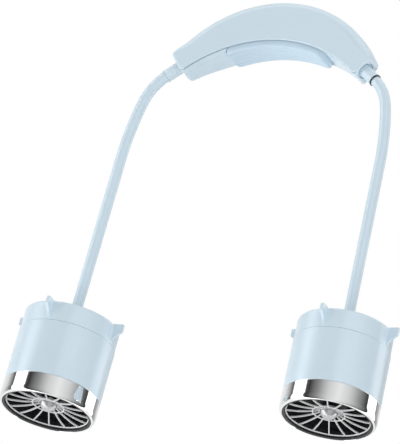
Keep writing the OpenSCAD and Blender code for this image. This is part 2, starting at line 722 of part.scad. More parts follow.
// The dished grille: how far up from the lip a rib's edge lies, at radius r from the axis
grille_ring_t = 1.2;
rim_in = grille_r - grille_ring_t;
rib_steps = 8;
hub_wall = 0.9;
hub_h = 2.4;
hub_seat = 1.6;
rib_rise = 0.15;
function dish(r) =
    grille_recess + rib_rise + (grille_dish - rib_rise) * pow((rim_in - r) / (rim_in - hub_r), 2);
module grille_rim() color(white) difference() {
    union() {
        translate([0, 0, grille_recess]) cylinder(r = grille_r, h = flange_low - grille_recess + lap);
        translate([0, 0, flange_low]) cylinder(r = spigot_r, h = grille_flange_h);
    }
    translate([0, 0, -over]) cylinder(r = rim_in, h = head_h);
}
module grille_ribs() color(white) difference() {
    union() {
        for (i = [0:ribs - 1]) rotate([0, 0, 360 * i / ribs]) rotate([90, 0, 0]) translate([0, 0, -rib_t / 2])
            linear_extrude(rib_t) polygon(concat(
                [for (k = [0:rib_steps]) let (r = hub_r + (rim_in - hub_r) * k / rib_steps) [r, dish(r)]],
                [[rim_in + rib_t / 2, dish(rim_in)], [rim_in + rib_t / 2, dish(rim_in) + rib_h - rib_rise]],
                [for (k = [rib_steps:-1:0]) let (r = hub_r + (rim_in - hub_r) * k / rib_steps)
                    [r, dish(r) + rib_h]],
                [[hub_r - hub_wall / 2, dish(hub_r) + rib_h], [hub_r - hub_wall / 2, dish(hub_r)]]));
        translate([0, 0, dish(inner_ring_r)]) tube(inner_ring_r + rib_t / 2, inner_ring_r - rib_t / 2, rib_h);
        translate([0, 0, dish(hub_r) - seat_gap]) cylinder(r = hub_r, h = hub_h + seat_gap);
    }
    cylinder(r = hub_r - hub_wall, h = dish(hub_r) + hub_seat);
}
module outlet_grille() {
    grille_rim();
    grille_ribs();
}
module left_outlet_grille() at_head(true) outlet_grille();
module right_outlet_grille() at_head(false) outlet_grille();

badge_r = hub_r - hub_wall - seat_gap;
dome_r = (badge_r * badge_r + dome_h * dome_h) / (2 * dome_h);
module hub_badge() color(steel) translate([0, 0, dish(hub_r)]) intersection() {
    translate([0, 0, dome_r - dome_h]) sphere(dome_r);
    translate([0, 0, -2 * dome_h]) cylinder(r = badge_r, h = 2 * dome_h + hub_seat - seat_gap / 2);
}
module left_hub_badge() at_head(true) hub_badge();
module right_hub_badge() at_head(false) hub_badge();

// The impeller: a hub with a round nose and an open back, and blades that are curved plates. Each is part
// of a round wall about an axis that points outwards, so its slant grows from its lower edge to its upper
hub_nose = 2.5;
hub_shell = 1.6;
shaft_boss_r = 3;
blade_h = 10;
blade_low = impeller_low + over / 2;
blade_t = 1.2;
blade_bend_r = blade_h / (sin(blade_top_angle) - sin(blade_low_angle));
blade_aside = blade_bend_r * (cos(blade_low_angle) + cos(blade_top_angle)) / 2;
blade_root = impeller_hub_r - hub_shell * 3 / 4;
module blade() intersection() {
    translate([0, -blade_aside, blade_low - blade_bend_r * sin(blade_low_angle)])
        rotate([0, 90, 0]) rotate([0, 0, 90 + blade_low_angle])
        rotate_extrude(angle = blade_top_angle - blade_low_angle)
        translate([blade_bend_r - blade_t / 2, blade_root]) square([blade_t, impeller_r - blade_root]);
    cylinder(r = impeller_r, h = head_h);
}
module impeller() color(near_black) difference() {
    union() {
        rotate_extrude() polygon(concat([[0, impeller_low]],
            [for (a = [0:15:90])
                [impeller_hub_r - hub_nose * (1 - sin(a)), impeller_low + hub_nose * (1 - cos(a))]],
            [[impeller_hub_r, impeller_top], [impeller_hub_r - hub_shell, impeller_top],
            [impeller_hub_r - hub_shell, impeller_low + hub_nose], [shaft_boss_r, impeller_low + hub_nose],
            [shaft_boss_r, impeller_top], [0, impeller_top]]));
        for (i = [0:blades - 1]) rotate([0, 0, 360 * i / blades]) blade();
    }
    translate([0, 0, impeller_low + over]) cylinder(r = shaft_r + run_gap, h = head_h);
}
module left_impeller() at_head(true) impeller();
module right_impeller() at_head(false) impeller();

shaft_low = impeller_low + over + seat_gap;
shaft_short = 2;
module shaft() color(steel) translate([0, 0, shaft_low])
    cylinder(r = shaft_r, h = motor_top - shaft_short - shaft_low);
module left_shaft() at_head(true) shaft();
module right_shaft() at_head(false) shaft();

module motor() color(steel) difference() {
    translate([0, 0, motor_low]) cylinder(r = motor_r, h = motor_h);
    translate([0, 0, motor_low - over]) cylinder(r = shaft_r + run_gap, h = motor_h);
}
module left_motor() at_head(true) motor();
module right_motor() at_head(false) motor();

// The lead's way from the motor's back up into the leg's core
head_lead_points = [
    [motor_r / 2, 0, motor_top + seam_gap],
    [motor_r / 2, 0, motor_top + lead_bend / 2],
    [motor_r / 4, 0, (motor_top + ferrule_low) / 2],
    [0, 0, ferrule_low - ferrule_flange_t - over],
    [0, 0, ferrule_low + over],
    [0, 0, head_h - core_head_in + over]];
module motor_lead() color(copper) smooth_tube(head_lead_points, lead_r);
module left_motor_lead() at_head(true) motor_lead();
module right_motor_lead() at_head(false) motor_lead();

front_shell();
rear_shell();
neck_pad();
left_cell();
right_cell();
control_board();
usb_socket();
button_switch();
power_button();
status_light();
housing_screws();
board_screws();
motor_leads();
left_collar();
right_collar();
left_seal_ring();
right_seal_ring();
left_shoulder_sleeve();
right_shoulder_sleeve();
left_upper_sleeve();
right_upper_sleeve();
left_middle_sleeve();
right_middle_sleeve();
left_lower_sleeve();
right_lower_sleeve();
left_ankle_sleeve();
right_ankle_sleeve();
left_upper_core();
right_upper_core();
left_middle_core();
right_middle_core();
left_lower_core();
right_lower_core();
left_ferrule();
right_ferrule();
left_cap();
right_cap();
left_cap_screws();
right_cap_screws();
left_barrel();
right_barrel();
left_chrome_ring();
right_chrome_ring();
left_lip_ring();
right_lip_ring();
left_outlet_grille();
right_outlet_grille();
left_hub_badge();
right_hub_badge();
left_impeller();
right_impeller();
left_shaft();
right_shaft();
left_motor();
right_motor();
left_motor_lead();
right_motor_lead();
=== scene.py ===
"""Looks of the neck fan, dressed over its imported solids.

Lengths are metres and angles are degrees, in the frame of the solids: the origin is the middle of the
neck pad's inner face, +Z is up with the fan worn, and -Y is the front.
"""

import json
import logging
import math
from collections.abc import Callable, Iterable, Sequence
from dataclasses import dataclass, field
from enum import Enum
from functools import cache

import bmesh
import bpy
from bmesh.types import BMEdge, BMesh, BMVert
from mathutils import Matrix, Vector


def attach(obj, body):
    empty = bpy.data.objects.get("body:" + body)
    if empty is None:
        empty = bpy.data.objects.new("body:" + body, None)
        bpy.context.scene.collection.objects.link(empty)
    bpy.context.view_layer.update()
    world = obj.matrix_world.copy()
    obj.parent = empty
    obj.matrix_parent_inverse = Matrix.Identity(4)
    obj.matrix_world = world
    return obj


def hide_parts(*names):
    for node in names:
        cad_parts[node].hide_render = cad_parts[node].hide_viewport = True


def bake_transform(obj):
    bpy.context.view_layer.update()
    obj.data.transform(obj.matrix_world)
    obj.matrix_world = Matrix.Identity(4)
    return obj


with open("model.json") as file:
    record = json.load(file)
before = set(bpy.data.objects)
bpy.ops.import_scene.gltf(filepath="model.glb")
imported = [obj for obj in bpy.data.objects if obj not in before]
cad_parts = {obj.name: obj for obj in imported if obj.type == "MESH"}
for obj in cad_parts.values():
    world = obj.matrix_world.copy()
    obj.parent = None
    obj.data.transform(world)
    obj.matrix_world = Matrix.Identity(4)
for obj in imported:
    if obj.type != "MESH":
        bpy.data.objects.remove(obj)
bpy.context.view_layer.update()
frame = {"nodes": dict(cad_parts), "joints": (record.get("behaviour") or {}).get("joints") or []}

LOG = logging.getLogger("neck_fan")
Point = tuple[float, float]
Corner = tuple[float, float, float]
Colour = tuple[float, float, float]
HeightAt = Callable[[float, float], float]
# The distance within which points are one, and the roundings of small edges
HAIR, FINE, SOFT, FULL = 1e-7, 0.0002, 0.0003, 0.0004
# From a mesh that stands on X and Y to one that faces the back or the front
TO_BACK = Matrix.Rotation(-math.pi / 2, 4, "X")
TO_FRONT = Matrix.Rotation(math.pi / 2, 4, "X")


class Side(Enum):
    """The two sides of the fan, as the sign of X."""

    LEFT = -1
    RIGHT = 1

    @property
    def label(self) -> str:
        """The side's word in node and body names."""
        return self.name.lower()


# Outlines


def heading(angle: float) -> Vector:
    """The direction at an angle from a plane's second axis towards its first."""
    return Vector((math.sin(math.radians(angle)), math.cos(math.radians(angle))))


def rectangle(left: float, right: float, low: float, high: float) -> list[Point]:
    """The corners of a rectangle, from its low left corner round by the right."""
    return [(left, low), (right, low), (right, high), (left, high)]


def arc(centre: Point, radius: float, start: float, stop: float, steps: int) -> list[Point]:
    """Points along an arc.

    Args:
        centre: The arc's centre in its plane.
        radius: The arc's radius.
        start: Angle of the first point, from the plane's second axis towards its first.
        stop: Angle of the last point.
        steps: Number of chords.

    Returns:
        One point more than there are chords.
    """
    turns = [math.radians(start + (stop - start) * i / steps) for i in range(steps + 1)]
    return [(centre[0] + radius * math.sin(t), centre[1] + radius * math.cos(t)) for t in turns]


def rounded(corners: Sequence[Corner], steps: int = 4) -> list[Point]:
    """Rounds the corners of a closed outline.

    Args:
        corners: Each corner's place and the radius of its rounding, which may be nothing.
        steps: Number of chords in each rounding.

    Returns:
        The outline's points in the corners' order.
    """
    points: list[Point] = []
    for i, (x, y, radius) in enumerate(corners):
        here = Vector((x, y))
        before = (Vector(corners[i - 1][:2]) - here).normalized()
        after = (Vector(corners[(i + 1) % len(corners)][:2]) - here).normalized()
        if radius <= 0:
            points.append((x, y))
            continue
        half = before.angle(after) / 2
        centre = here + (before + after).normalized() * radius / math.sin(half)
        first = here + before * radius / math.tan(half) - centre
        last = here + after * radius / math.tan(half) - centre
        for k in range(steps + 1):
            way = first.lerp(last, k / steps).normalized() * radius
            points.append(tuple(centre + way))
    return points


# Finishes


class Nodes:
    """A short way to write a shader tree."""

    def __init__(self, tree: bpy.types.NodeTree) -> None:
        """Clears the tree.

        Args:
            tree: The tree to write in.
        """
        self.tree = tree
        tree.nodes.clear()

    def add(self, kind: str, inputs: dict | None = None, **settings: object) -> bpy.types.Node:
        """Adds a node.

        Args:
            kind: The node's type without its ShaderNode prefix, or a whole type name.
            inputs: Value or socket for each named or numbered input.
            **settings: The node's own settings.

        Returns:
            The new node.
        """
        node = self.tree.nodes.new(kind if kind.startswith("Node") else "ShaderNode" + kind)
        for key, value in settings.items():
            setattr(node, key, value)
        for key, value in (inputs or {}).items():
            socket = node.inputs[key]
            if isinstance(value, bpy.types.NodeSocket):
                self.tree.links.new(value, socket)
            else:
                socket.default_value = value
        return node

    def maths(self, operation: str, *values: object) -> bpy.types.NodeSocket:
        """A number worked out from values or sockets."""
        return self.add("Math", dict(enumerate(values)), operation=operation).outputs[0]

    def fit(self, value: object, *ends: float) -> bpy.types.NodeSocket:
        """A value moved from the range of the first two ends to that of the last two."""
        return self.add("MapRange", {0: value} | dict(enumerate(ends, 1))).outputs[0]

    def mix(self, share: object, first: object, second: object) -> bpy.types.NodeSocket:
        """A colour mixed from two, with a share of the second."""
        return self.add("Mix", {0: share, 6: first, 7: second}, data_type="RGBA").outputs[2]


def rgba(colour: Colour) -> tuple[float, float, float, float]:
    """A colour with full cover."""
    return (*colour, 1.0)


def new_group(name: str, inputs: Sequence[tuple], outputs: Sequence[str]) -> tuple[Nodes, object, object]:
    """Starts a shader group that gives values.

    Args:
        name: The group's name.
        inputs: Name, socket kind and first value of each input.
        outputs: Name of each output.

    Returns:
        The group's nodes, its input node and its output node.
    """
    tree = bpy.data.node_groups.new(name, "ShaderNodeTree")
    for label, kind, value in inputs:
        socket = tree.interface.new_socket(label, in_out="INPUT", socket_type="NodeSocket" + kind)
        if value is not None:
            socket.default_value = value
    for label in outputs:
        tree.interface.new_socket(label, in_out="OUTPUT", socket_type="NodeSocketFloat")
    nodes = Nodes(tree)
    return nodes, nodes.add("NodeGroupInput"), nodes.add("NodeGroupOutput")


@cache
def moulded_surface() -> bpy.types.NodeTree:
    """The group that gives a moulded surface its broad clouds, fine grain and specks of dust.

    Returns:
        The group, made once.
    """
    inputs = [("Place", "Vector", None), ("Cloud scale", "Float", 20.0), ("Grain scale", "Float", 2500.0)]
    nodes, given, result = new_group("Moulded surface", inputs, ["Cloud", "Grain", "Speck"])
    cloud = nodes.add("TexNoise", {"Vector": given.outputs[0], "Scale": given.outputs[1], "Detail": 2.0})
    grain = nodes.add("TexNoise", {"Vector": given.outputs[0], "Scale": given.outputs[2], "Detail": 3.0})
    dots = nodes.add("TexVoronoi", {"Vector": given.outputs[0], "Scale": 420.0})
    speck = nodes.add("MapRange", {0: dots.outputs["Distance"], 1: 0.02, 2: 0.07, 3: 1.0, 4: 0.0})
    for i, value in enumerate((cloud.outputs["Fac"], grain.outputs["Fac"], speck.outputs[0])):
        nodes.tree.links.new(value, result.inputs[i])
    return nodes.tree


@cache
def drawn_lines() -> bpy.types.NodeTree:
    """The group that gives metal its fine lines along one axis.

    Returns:
        The group, made once.
    """
    inputs = [("Place", "Vector", None), ("Stretch", "Vector", (1.0, 1.0, 1.0)), ("Scale", "Float", 900.0)]
    nodes, given, result = new_group("Drawn lines", inputs, ["Lines", "Smudge"])
    long_place = nodes.add("Mapping", {"Vector": given.outputs[0], "Scale": given.outputs[1]})
    lines = nodes.add(
        "TexNoise", {"Vector": long_place.outputs[0], "Scale": given.outputs[2], "Detail": 4.0}
    )
    smudge = nodes.add("TexNoise", {"Vector": given.outputs[0], "Scale": 90.0, "Detail": 3.0})
    nodes.tree.links.new(lines.outputs["Fac"], result.inputs[0])
    nodes.tree.links.new(smudge.outputs["Fac"], result.inputs[1])
    return nodes.tree


@dataclass(frozen=True)
class Finish:
    """What every finish shares: a name and a colour, and a material that it makes once."""

    name: str
    colour: Colour

    def build(self, nodes: Nodes, place: bpy.types.NodeSocket) -> bpy.types.Node:
        """Writes the finish's nodes; each finish has its own."""
        raise NotImplementedError

    def material(self) -> bpy.types.Material:
        """The finish's material.

        Returns:
            The material, made at its first use.
        """
        if self.name in bpy.data.materials:
            return bpy.data.materials[self.name]
        made = bpy.data.materials.new(self.name)
        made.use_nodes = True
        nodes = Nodes(made.node_tree)
        place = nodes.add("TexCoord").outputs["Object"]
        shader = self.build(nodes, place)
        nodes.add("OutputMaterial", {"Surface": shader.outputs[0]})
        return made


@dataclass(frozen=True)
class Moulded(Finish):
    """A moulded plastic or silicone: a colour that drifts a little, a fine grain and a soft gloss."""

    roughness: float = 0.35
    drift: float = 0.03
    grain_scale: float = 2500.0
    grain_depth: float = 0.00001
    coat: float = 0.0
    sheen: float = 0.0
    ior: float = 1.46
    bump: float = 0.6
    dust: float = 0.35

    def build(self, nodes: Nodes, place: bpy.types.NodeSocket) -> bpy.types.Node:
        """Writes the finish's nodes.

        Args:
            nodes: The material's tree.
            place: Where each point is on its object.

        Returns:
            The shader.
        """
        settings = {"Place": place, "Grain scale": self.grain_scale}
        cloud, grain, speck = nodes.add("Group", settings, node_tree=moulded_surface()).outputs
        deep = rgba(tuple(c * (1 - self.drift) for c in self.colour))
        pale = rgba(tuple(min(1.0, c * (1 + self.drift)) for c in self.colour))
        dusty = rgba(tuple(0.9 * c + 0.06 for c in self.colour))
        dust = nodes.maths("MULTIPLY", speck, self.dust)
        bump = nodes.add("Bump", {"Height": grain, "Strength": self.bump, "Distance": self.grain_depth})
        return nodes.add(
            "BsdfPrincipled",
            {
                "Base Color": nodes.mix(dust, nodes.mix(cloud, deep, pale), dusty),
                "Roughness": nodes.fit(cloud, 0.3, 0.7, self.roughness - 0.04, self.roughness + 0.05),
                "Normal": bump.outputs[0],
                "IOR": self.ior,
                "Coat Weight": self.coat,
                "Coat Roughness": 0.15,
                "Sheen Weight": self.sheen,
                "Sheen Roughness": 0.4,
            },
        )


@dataclass(frozen=True)
class Metal(Finish):
    """A bare or plated metal, with fine lines along one axis and faint smudges."""

    roughness: float = 0.2
    line_depth: float = 0.0
    line_spread: float = 0.05
    stretch: tuple[float, float, float] = (1.0, 1.0, 1.0)
    anisotropic: float = 0.0

    def build(self, nodes: Nodes, place: bpy.types.NodeSocket) -> bpy.types.Node:
        """Writes the finish's nodes.

        Args:
            nodes: The material's tree.
            place: Where each point is on its object.

        Returns:
            The shader.
        """
        settings = {"Place": place, "Stretch": self.stretch}
        lines, smudge = nodes.add("Group", settings, node_tree=drawn_lines()).outputs
        deep = rgba(tuple(c * (1 - self.line_spread) for c in self.colour))
        bump = nodes.add("Bump", {"Height": lines, "Strength": 0.5, "Distance": self.line_depth})
        return nodes.add(
            "BsdfPrincipled",
            {
                "Base Color": nodes.mix(lines, deep, rgba(self.colour)),
                "Metallic": 1.0,
                "Roughness": nodes.fit(smudge, 0.3, 0.75, self.roughness, self.roughness * 1.35 + 0.01),
                "Normal": bump.outputs[0],
                "Anisotropic": self.anisotropic,
            },
        )


@dataclass(frozen=True)
class Laminate(Finish):
    """A circuit board: copper runs that show through its solder mask."""

    run_width: float = 0.0011
    run_height: float = 0.00003

    def build(self, nodes: Nodes, place: bpy.types.NodeSocket) -> bpy.types.Node:
        """Writes the finish's nodes.

        Args:
            nodes: The material's tree.
            place: Where each point is on its object.

        Returns:
            The shader.
        """
        turned = nodes.add("Mapping", {"Vector": place, "Rotation": (math.pi / 2, 0.0, 0.0)})
        settings = {
            "Vector": turned.outputs[0],
            "Scale": 1.0,
            "Brick Width": 4 * self.run_width,
            "Row Height": self.run_width,
            "Mortar Size": self.run_width / 5,
        }
        runs = nodes.add("TexBrick", settings).outputs["Fac"]
        base = nodes.mix(runs, rgba(self.colour), rgba(tuple(c * 1.5 for c in self.colour)))
        bump = nodes.add("Bump", {"Height": runs, "Strength": 0.4, "Distance": self.run_height})
        return nodes.add("BsdfPrincipled", {"Base Color": base, "Roughness": 0.3, "Normal": bump.outputs[0]})


@dataclass(frozen=True)
class Clear(Finish):
    """A clear light guide, slightly clouded."""

    clearness: float = 0.85
    ior: float = 1.49

    def build(self, nodes: Nodes, place: bpy.types.NodeSocket) -> bpy.types.Node:
        """Writes the finish's nodes.

        Args:
            nodes: The material's tree.
            place: Where each point is on its object.

        Returns:
            The shader.
        """
        cloud = nodes.add("Group", {"Place": place}, node_tree=moulded_surface()).outputs["Cloud"]
        rough = nodes.fit(cloud, 0.0, 1.0, 0.12, 0.3)
        settings = {"Roughness": rough, "Transmission Weight": self.clearness, "IOR": self.ior}
        return nodes.add("BsdfPrincipled", {"Base Color": rgba(self.colour)} | settings)


SHELL = Moulded("Satin shell plastic", (0.66, 0.79, 0.875), 0.33, 0.012, coat=0.15)
PAD = Moulded("Soft pad silicone", (0.575, 0.72, 0.83), 0.5, 0.015, 1800.0, 0.00002, sheen=0.12)
SLEEVE = Moulded("Leg sleeve silicone", (0.65, 0.785, 0.87), 0.38, 0.012, 1600.0, coat=0.3, sheen=0.06)
BLACK = Moulded("Black seal rubber", (0.012, 0.013, 0.015), 0.4, 0.05)
# Dark plastic of the impeller and switch; on the duct's liner this darkness is painted shade inside the
# barrel
DARK = Moulded("Dark fan plastic", (0.018, 0.019, 0.021), 0.42, 0.05)
WHITE = Moulded("White grille plastic", (0.91, 0.915, 0.92), 0.3, 0.008)
WRAP = Moulded("Cell wrap", (0.07, 0.26, 0.52), 0.25, 0.04, coat=0.3)
LEAD = Moulded("Lead insulation", (0.55, 0.06, 0.035), 0.45, 0.05)
CHROME = Metal("Polished chrome", (0.87, 0.875, 0.88), 0.045, line_spread=0.01)
BRUSHED = Metal("Brushed badge metal", (0.62, 0.62, 0.63), 0.3, 0.00002, 0.16, (1.0, 0.05, 1.0), 0.4)
STEEL = Metal("Bright steel", (0.6, 0.61, 0.63), 0.28, 0.00001, 0.1)
SPRING = Metal("Wound spring steel", (0.36, 0.37, 0.39), 0.35, 0.00002, 0.2)
BOARD = Laminate("Board mask", (0.02, 0.16, 0.075))
GUIDE = Clear("Light guide", (0.93, 0.96, 0.98))


# Shapes


def only(kind: type, geom: Iterable) -> list:
    """The parts of one kind among what an operator gives."""
    return [part for part in geom if isinstance(part, kind)]


def in_scene(name: str, data: bpy.types.ID) -> bpy.types.Object:
    """Puts a new object in the scene.

    Args:
        name: Its name.
        data: Its mesh, camera or lamp.

    Returns:
        The object, at the origin.
    """
    made = bpy.data.objects.new(name, data)
    bpy.context.scene.collection.objects.link(made)
    return made


def face_outwards(bm: BMesh) -> None:
    """Turns the faces of every closed part of a mesh outwards.

    Args:
        bm: The mesh.
    """
    bmesh.ops.recalc_face_normals(bm, faces=bm.faces)
    left = set(bm.faces)
    while left:
        island, rim = [], [left.pop()]
        while rim:
            face = rim.pop()
            island.append(face)
            near = {f for e in face.edges for f in e.link_faces} & left
            left -= near
            rim.extend(near)
        if sum(f.verts[0].co.dot(f.normal) * f.calc_area() for f in island) < 0:
            bmesh.ops.reverse_faces(bm, faces=island)


class Shape:
    """One mesh in the making, with the operators that this object's pieces need."""

    def __init__(self) -> None:
        """Starts an empty mesh."""
        self.bm = bmesh.new()

    def _new_since(self, kept: set) -> list:
        """Vertices that aren't in a kept set."""
        return [v for v in self.bm.verts if v not in kept]

    def place(self, matrix: Matrix, verts: Iterable | None = None) -> "Shape":
        """Moves the whole mesh or some of its vertices.

        Args:
            matrix: The move.
            verts: What moves, or everything.

        Returns:
            This shape.
        """
        bmesh.ops.transform(self.bm, matrix=matrix, verts=list(verts or self.bm.verts))
        return self

    def lathe(self, profile: Sequence[Point], steps: int = 96, closed: bool = True) -> list:
        """Turns a profile about Z.

        Args:
            profile: Radius and height of each point.
            steps: Number of facets round.
            closed: Whether the profile's last point joins its first.

        Returns:
            The new vertices.
        """
        kept = set(self.bm.verts)
        verts = [self.bm.verts.new((r, 0.0, z)) for r, z in profile]
        pairs = list(zip(verts, verts[1:])) + ([(verts[-1], verts[0])] if closed else [])
        edges = [self.bm.edges.new(pair) for pair in pairs]
        turn = {"cent": (0, 0, 0), "axis": (0, 0, 1), "angle": math.tau, "steps": steps, "use_merge": True}
        bmesh.ops.spin(self.bm, geom=verts + edges, **turn)
        bmesh.ops.remove_doubles(self.bm, verts=self._new_since(kept), dist=HAIR)
        return self._new_since(kept)

    def turned(self, corners: Sequence[Corner], steps: int = 64, chords: int = 4) -> list:
        """Turns a closed profile about Z, with its corners rounded.

        Args:
            corners: Radius, height and rounding of each corner.
            steps: Number of facets round.
            chords: Number of chords in each rounding.

        Returns:
            The new vertices.
        """
        return self.lathe(rounded(corners, chords), steps)

    def prism(self, outline: Sequence[Point], low: float, high: float, edge: float = 0.0) -> list:
        """Raises an outline in the plane of X and Y.

        Args:
            outline: The outline's points.
            low: Height of its bottom.
            high: Height of its top.
            edge: Rounding of the edges round its top and bottom.

        Returns:
            The new vertices.
        """
        kept = set(self.bm.verts)
        face = self.bm.faces.new([self.bm.verts.new((x, y, low)) for x, y in outline])
        raised = bmesh.ops.extrude_face_region(self.bm, geom=[face])["geom"]
        bmesh.ops.translate(self.bm, verts=only(BMVert, raised), vec=(0, 0, high - low))
        if edge > 0:
            made = set(self._new_since(kept))
            middle, reach = (low + high) / 2, (high - low) * 0.49
            new = [f for f in self.bm.faces if made.issuperset(f.verts)]
            ends = [f for f in new if abs(f.calc_center_median().z - middle) > reach]
            self.bevel([e for f in ends for e in f.edges], edge, 2)
        return self._new_since(kept)

    def bevel(self, edges: Iterable, width: float, segments: int) -> None:
        """Rounds edges.

        Args:
            edges: The edges.
            width: How far the rounding reaches from each edge.
            segments: Number of facets across the rounding.
        """
        bmesh.ops.bevel(
            self.bm,
            geom=list(edges),
            offset=width,
            offset_type="OFFSET",
            segments=segments,
            profile=0.5,
            affect="EDGES",
            clamp_overlap=True,
            material=-1,
        )

    def ball(self, radius: float, centre: Vector, flat: float = 1.0) -> None:
        """Adds a small ball.

        Args:
            radius: Its radius.
            centre: Its place.
            flat: Its height as a share of its width.
        """
        squeeze = Matrix.Translation(centre) @ Matrix.Diagonal((1, 1, flat, 1))
        bmesh.ops.create_icosphere(self.bm, subdivisions=2, radius=radius, matrix=squeeze)

    def repeat(self, verts: Sequence, count: int) -> None:
        """Copies vertices and what they carry round Z.

        Args:
            verts: What is copied.
            count: How many there are in the end, the first among them.
        """
        chosen = set(verts)
        edges = [e for e in self.bm.edges if chosen.issuperset(e.verts)]
        faces = [f for f in self.bm.faces if chosen.issuperset(f.verts)]
        for i in range(1, count):
            made = bmesh.ops.duplicate(self.bm, geom=list(verts) + edges + faces)["geom"]
            turn = Matrix.Rotation(math.tau * i / count, 3, "Z")
            bmesh.ops.rotate(self.bm, verts=only(BMVert, made), cent=(0, 0, 0), matrix=turn)

    def pull(self, edges: list) -> tuple[list, list]:
        """Extrudes a loop of edges in its place.

        Args:
            edges: The loop.

        Returns:
            The new loop's vertices and edges.
        """
        made = bmesh.ops.extrude_edge_only(self.bm, edges=edges)["geom"]
        verts = only(BMVert, made)
        new = set(verts)
        return verts, [e for e in only(BMEdge, made) if new.issuperset(e.verts)]

    def to_object(self, name: str, flip: bool = False) -> bpy.types.Object:
        """Ends the mesh and puts it in the scene.

        Args:
            name: The object's name.
            flip: Whether the mesh is mirrored in X first.

        Returns:
            The object, at the origin.
        """
        if flip:
            bmesh.ops.scale(self.bm, vec=(-1, 1, 1), verts=self.bm.verts)
        face_outwards(self.bm)
        mesh = bpy.data.meshes.new(name)
        self.bm.to_mesh(mesh)
        self.bm.free()
        return in_scene(name, mesh)


def settle(piece: bpy.types.Object) -> None:
    """Applies a piece's modifiers, so that what follows works on its final mesh.

    Args:
        piece: The piece.
    """
    shown = piece.evaluated_get(bpy.context.evaluated_depsgraph_get())
    mesh = bpy.data.meshes.new_from_object(shown)
    old = piece.data
    piece.modifiers.clear()
    piece.data = mesh
    bpy.data.meshes.remove(old)


def carve(piece: bpy.types.Object, *cutters: bpy.types.Object) -> None:
    """Takes cutters away from a piece, and removes them.

    Args:
        piece: The piece.
        *cutters: Closed meshes.
    """
    for cutter in cutters:
        cut = piece.modifiers.new("cut", "BOOLEAN")
        cut.operation = "DIFFERENCE"
        cut.solver = "EXACT"
        cut.object = cutter
        settle(piece)
        bpy.data.meshes.remove(cutter.data)


def smooth(piece: bpy.types.Object, angle: float = 32.0) -> None:
    """Shades a piece smooth but for its sharp edges, with its flat faces kept flat.

    Args:
        piece: The piece.
        angle: The angle between faces from which an edge is sharp.
    """
    mesh = piece.data
    mesh.polygons.foreach_set("use_smooth", [True] * len(mesh.polygons))
    mesh.set_sharp_from_angle(angle=math.radians(angle))
    weighted = piece.modifiers.new("flat faces", "WEIGHTED_NORMAL")
    weighted.keep_sharp = True
    settle(piece)


def dress(
    piece: bpy.types.Object,
    finish: Finish,
    body: str | tuple,
    replaces: Sequence[str] = (),
    angle: float = 32.0,
) -> bpy.types.Object:
    """Gives a finished mesh its material, puts it on the body that it rides on and hides the nodes that it
    stands for.

    Args:
        piece: The piece.
        finish: Its finish.
        body: The body that it rides on, or two bodies and two points, with which the piece only keeps its
            place and does not bend.
        replaces: The nodes that it stands for.
        angle: The angle between faces from which an edge is sharp.

    Returns:
        The piece.
    """
    piece.data.materials.clear()
    piece.data.materials.append(finish.material())
    smooth(piece, angle)
    if isinstance(body, str):
        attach(piece, body)
    else:
        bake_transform(piece)
    if replaces:
        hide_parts(*replaces)
    LOG.info("%s: %d faces", piece.name, len(piece.data.polygons))
    return piece


# Sub-assemblies


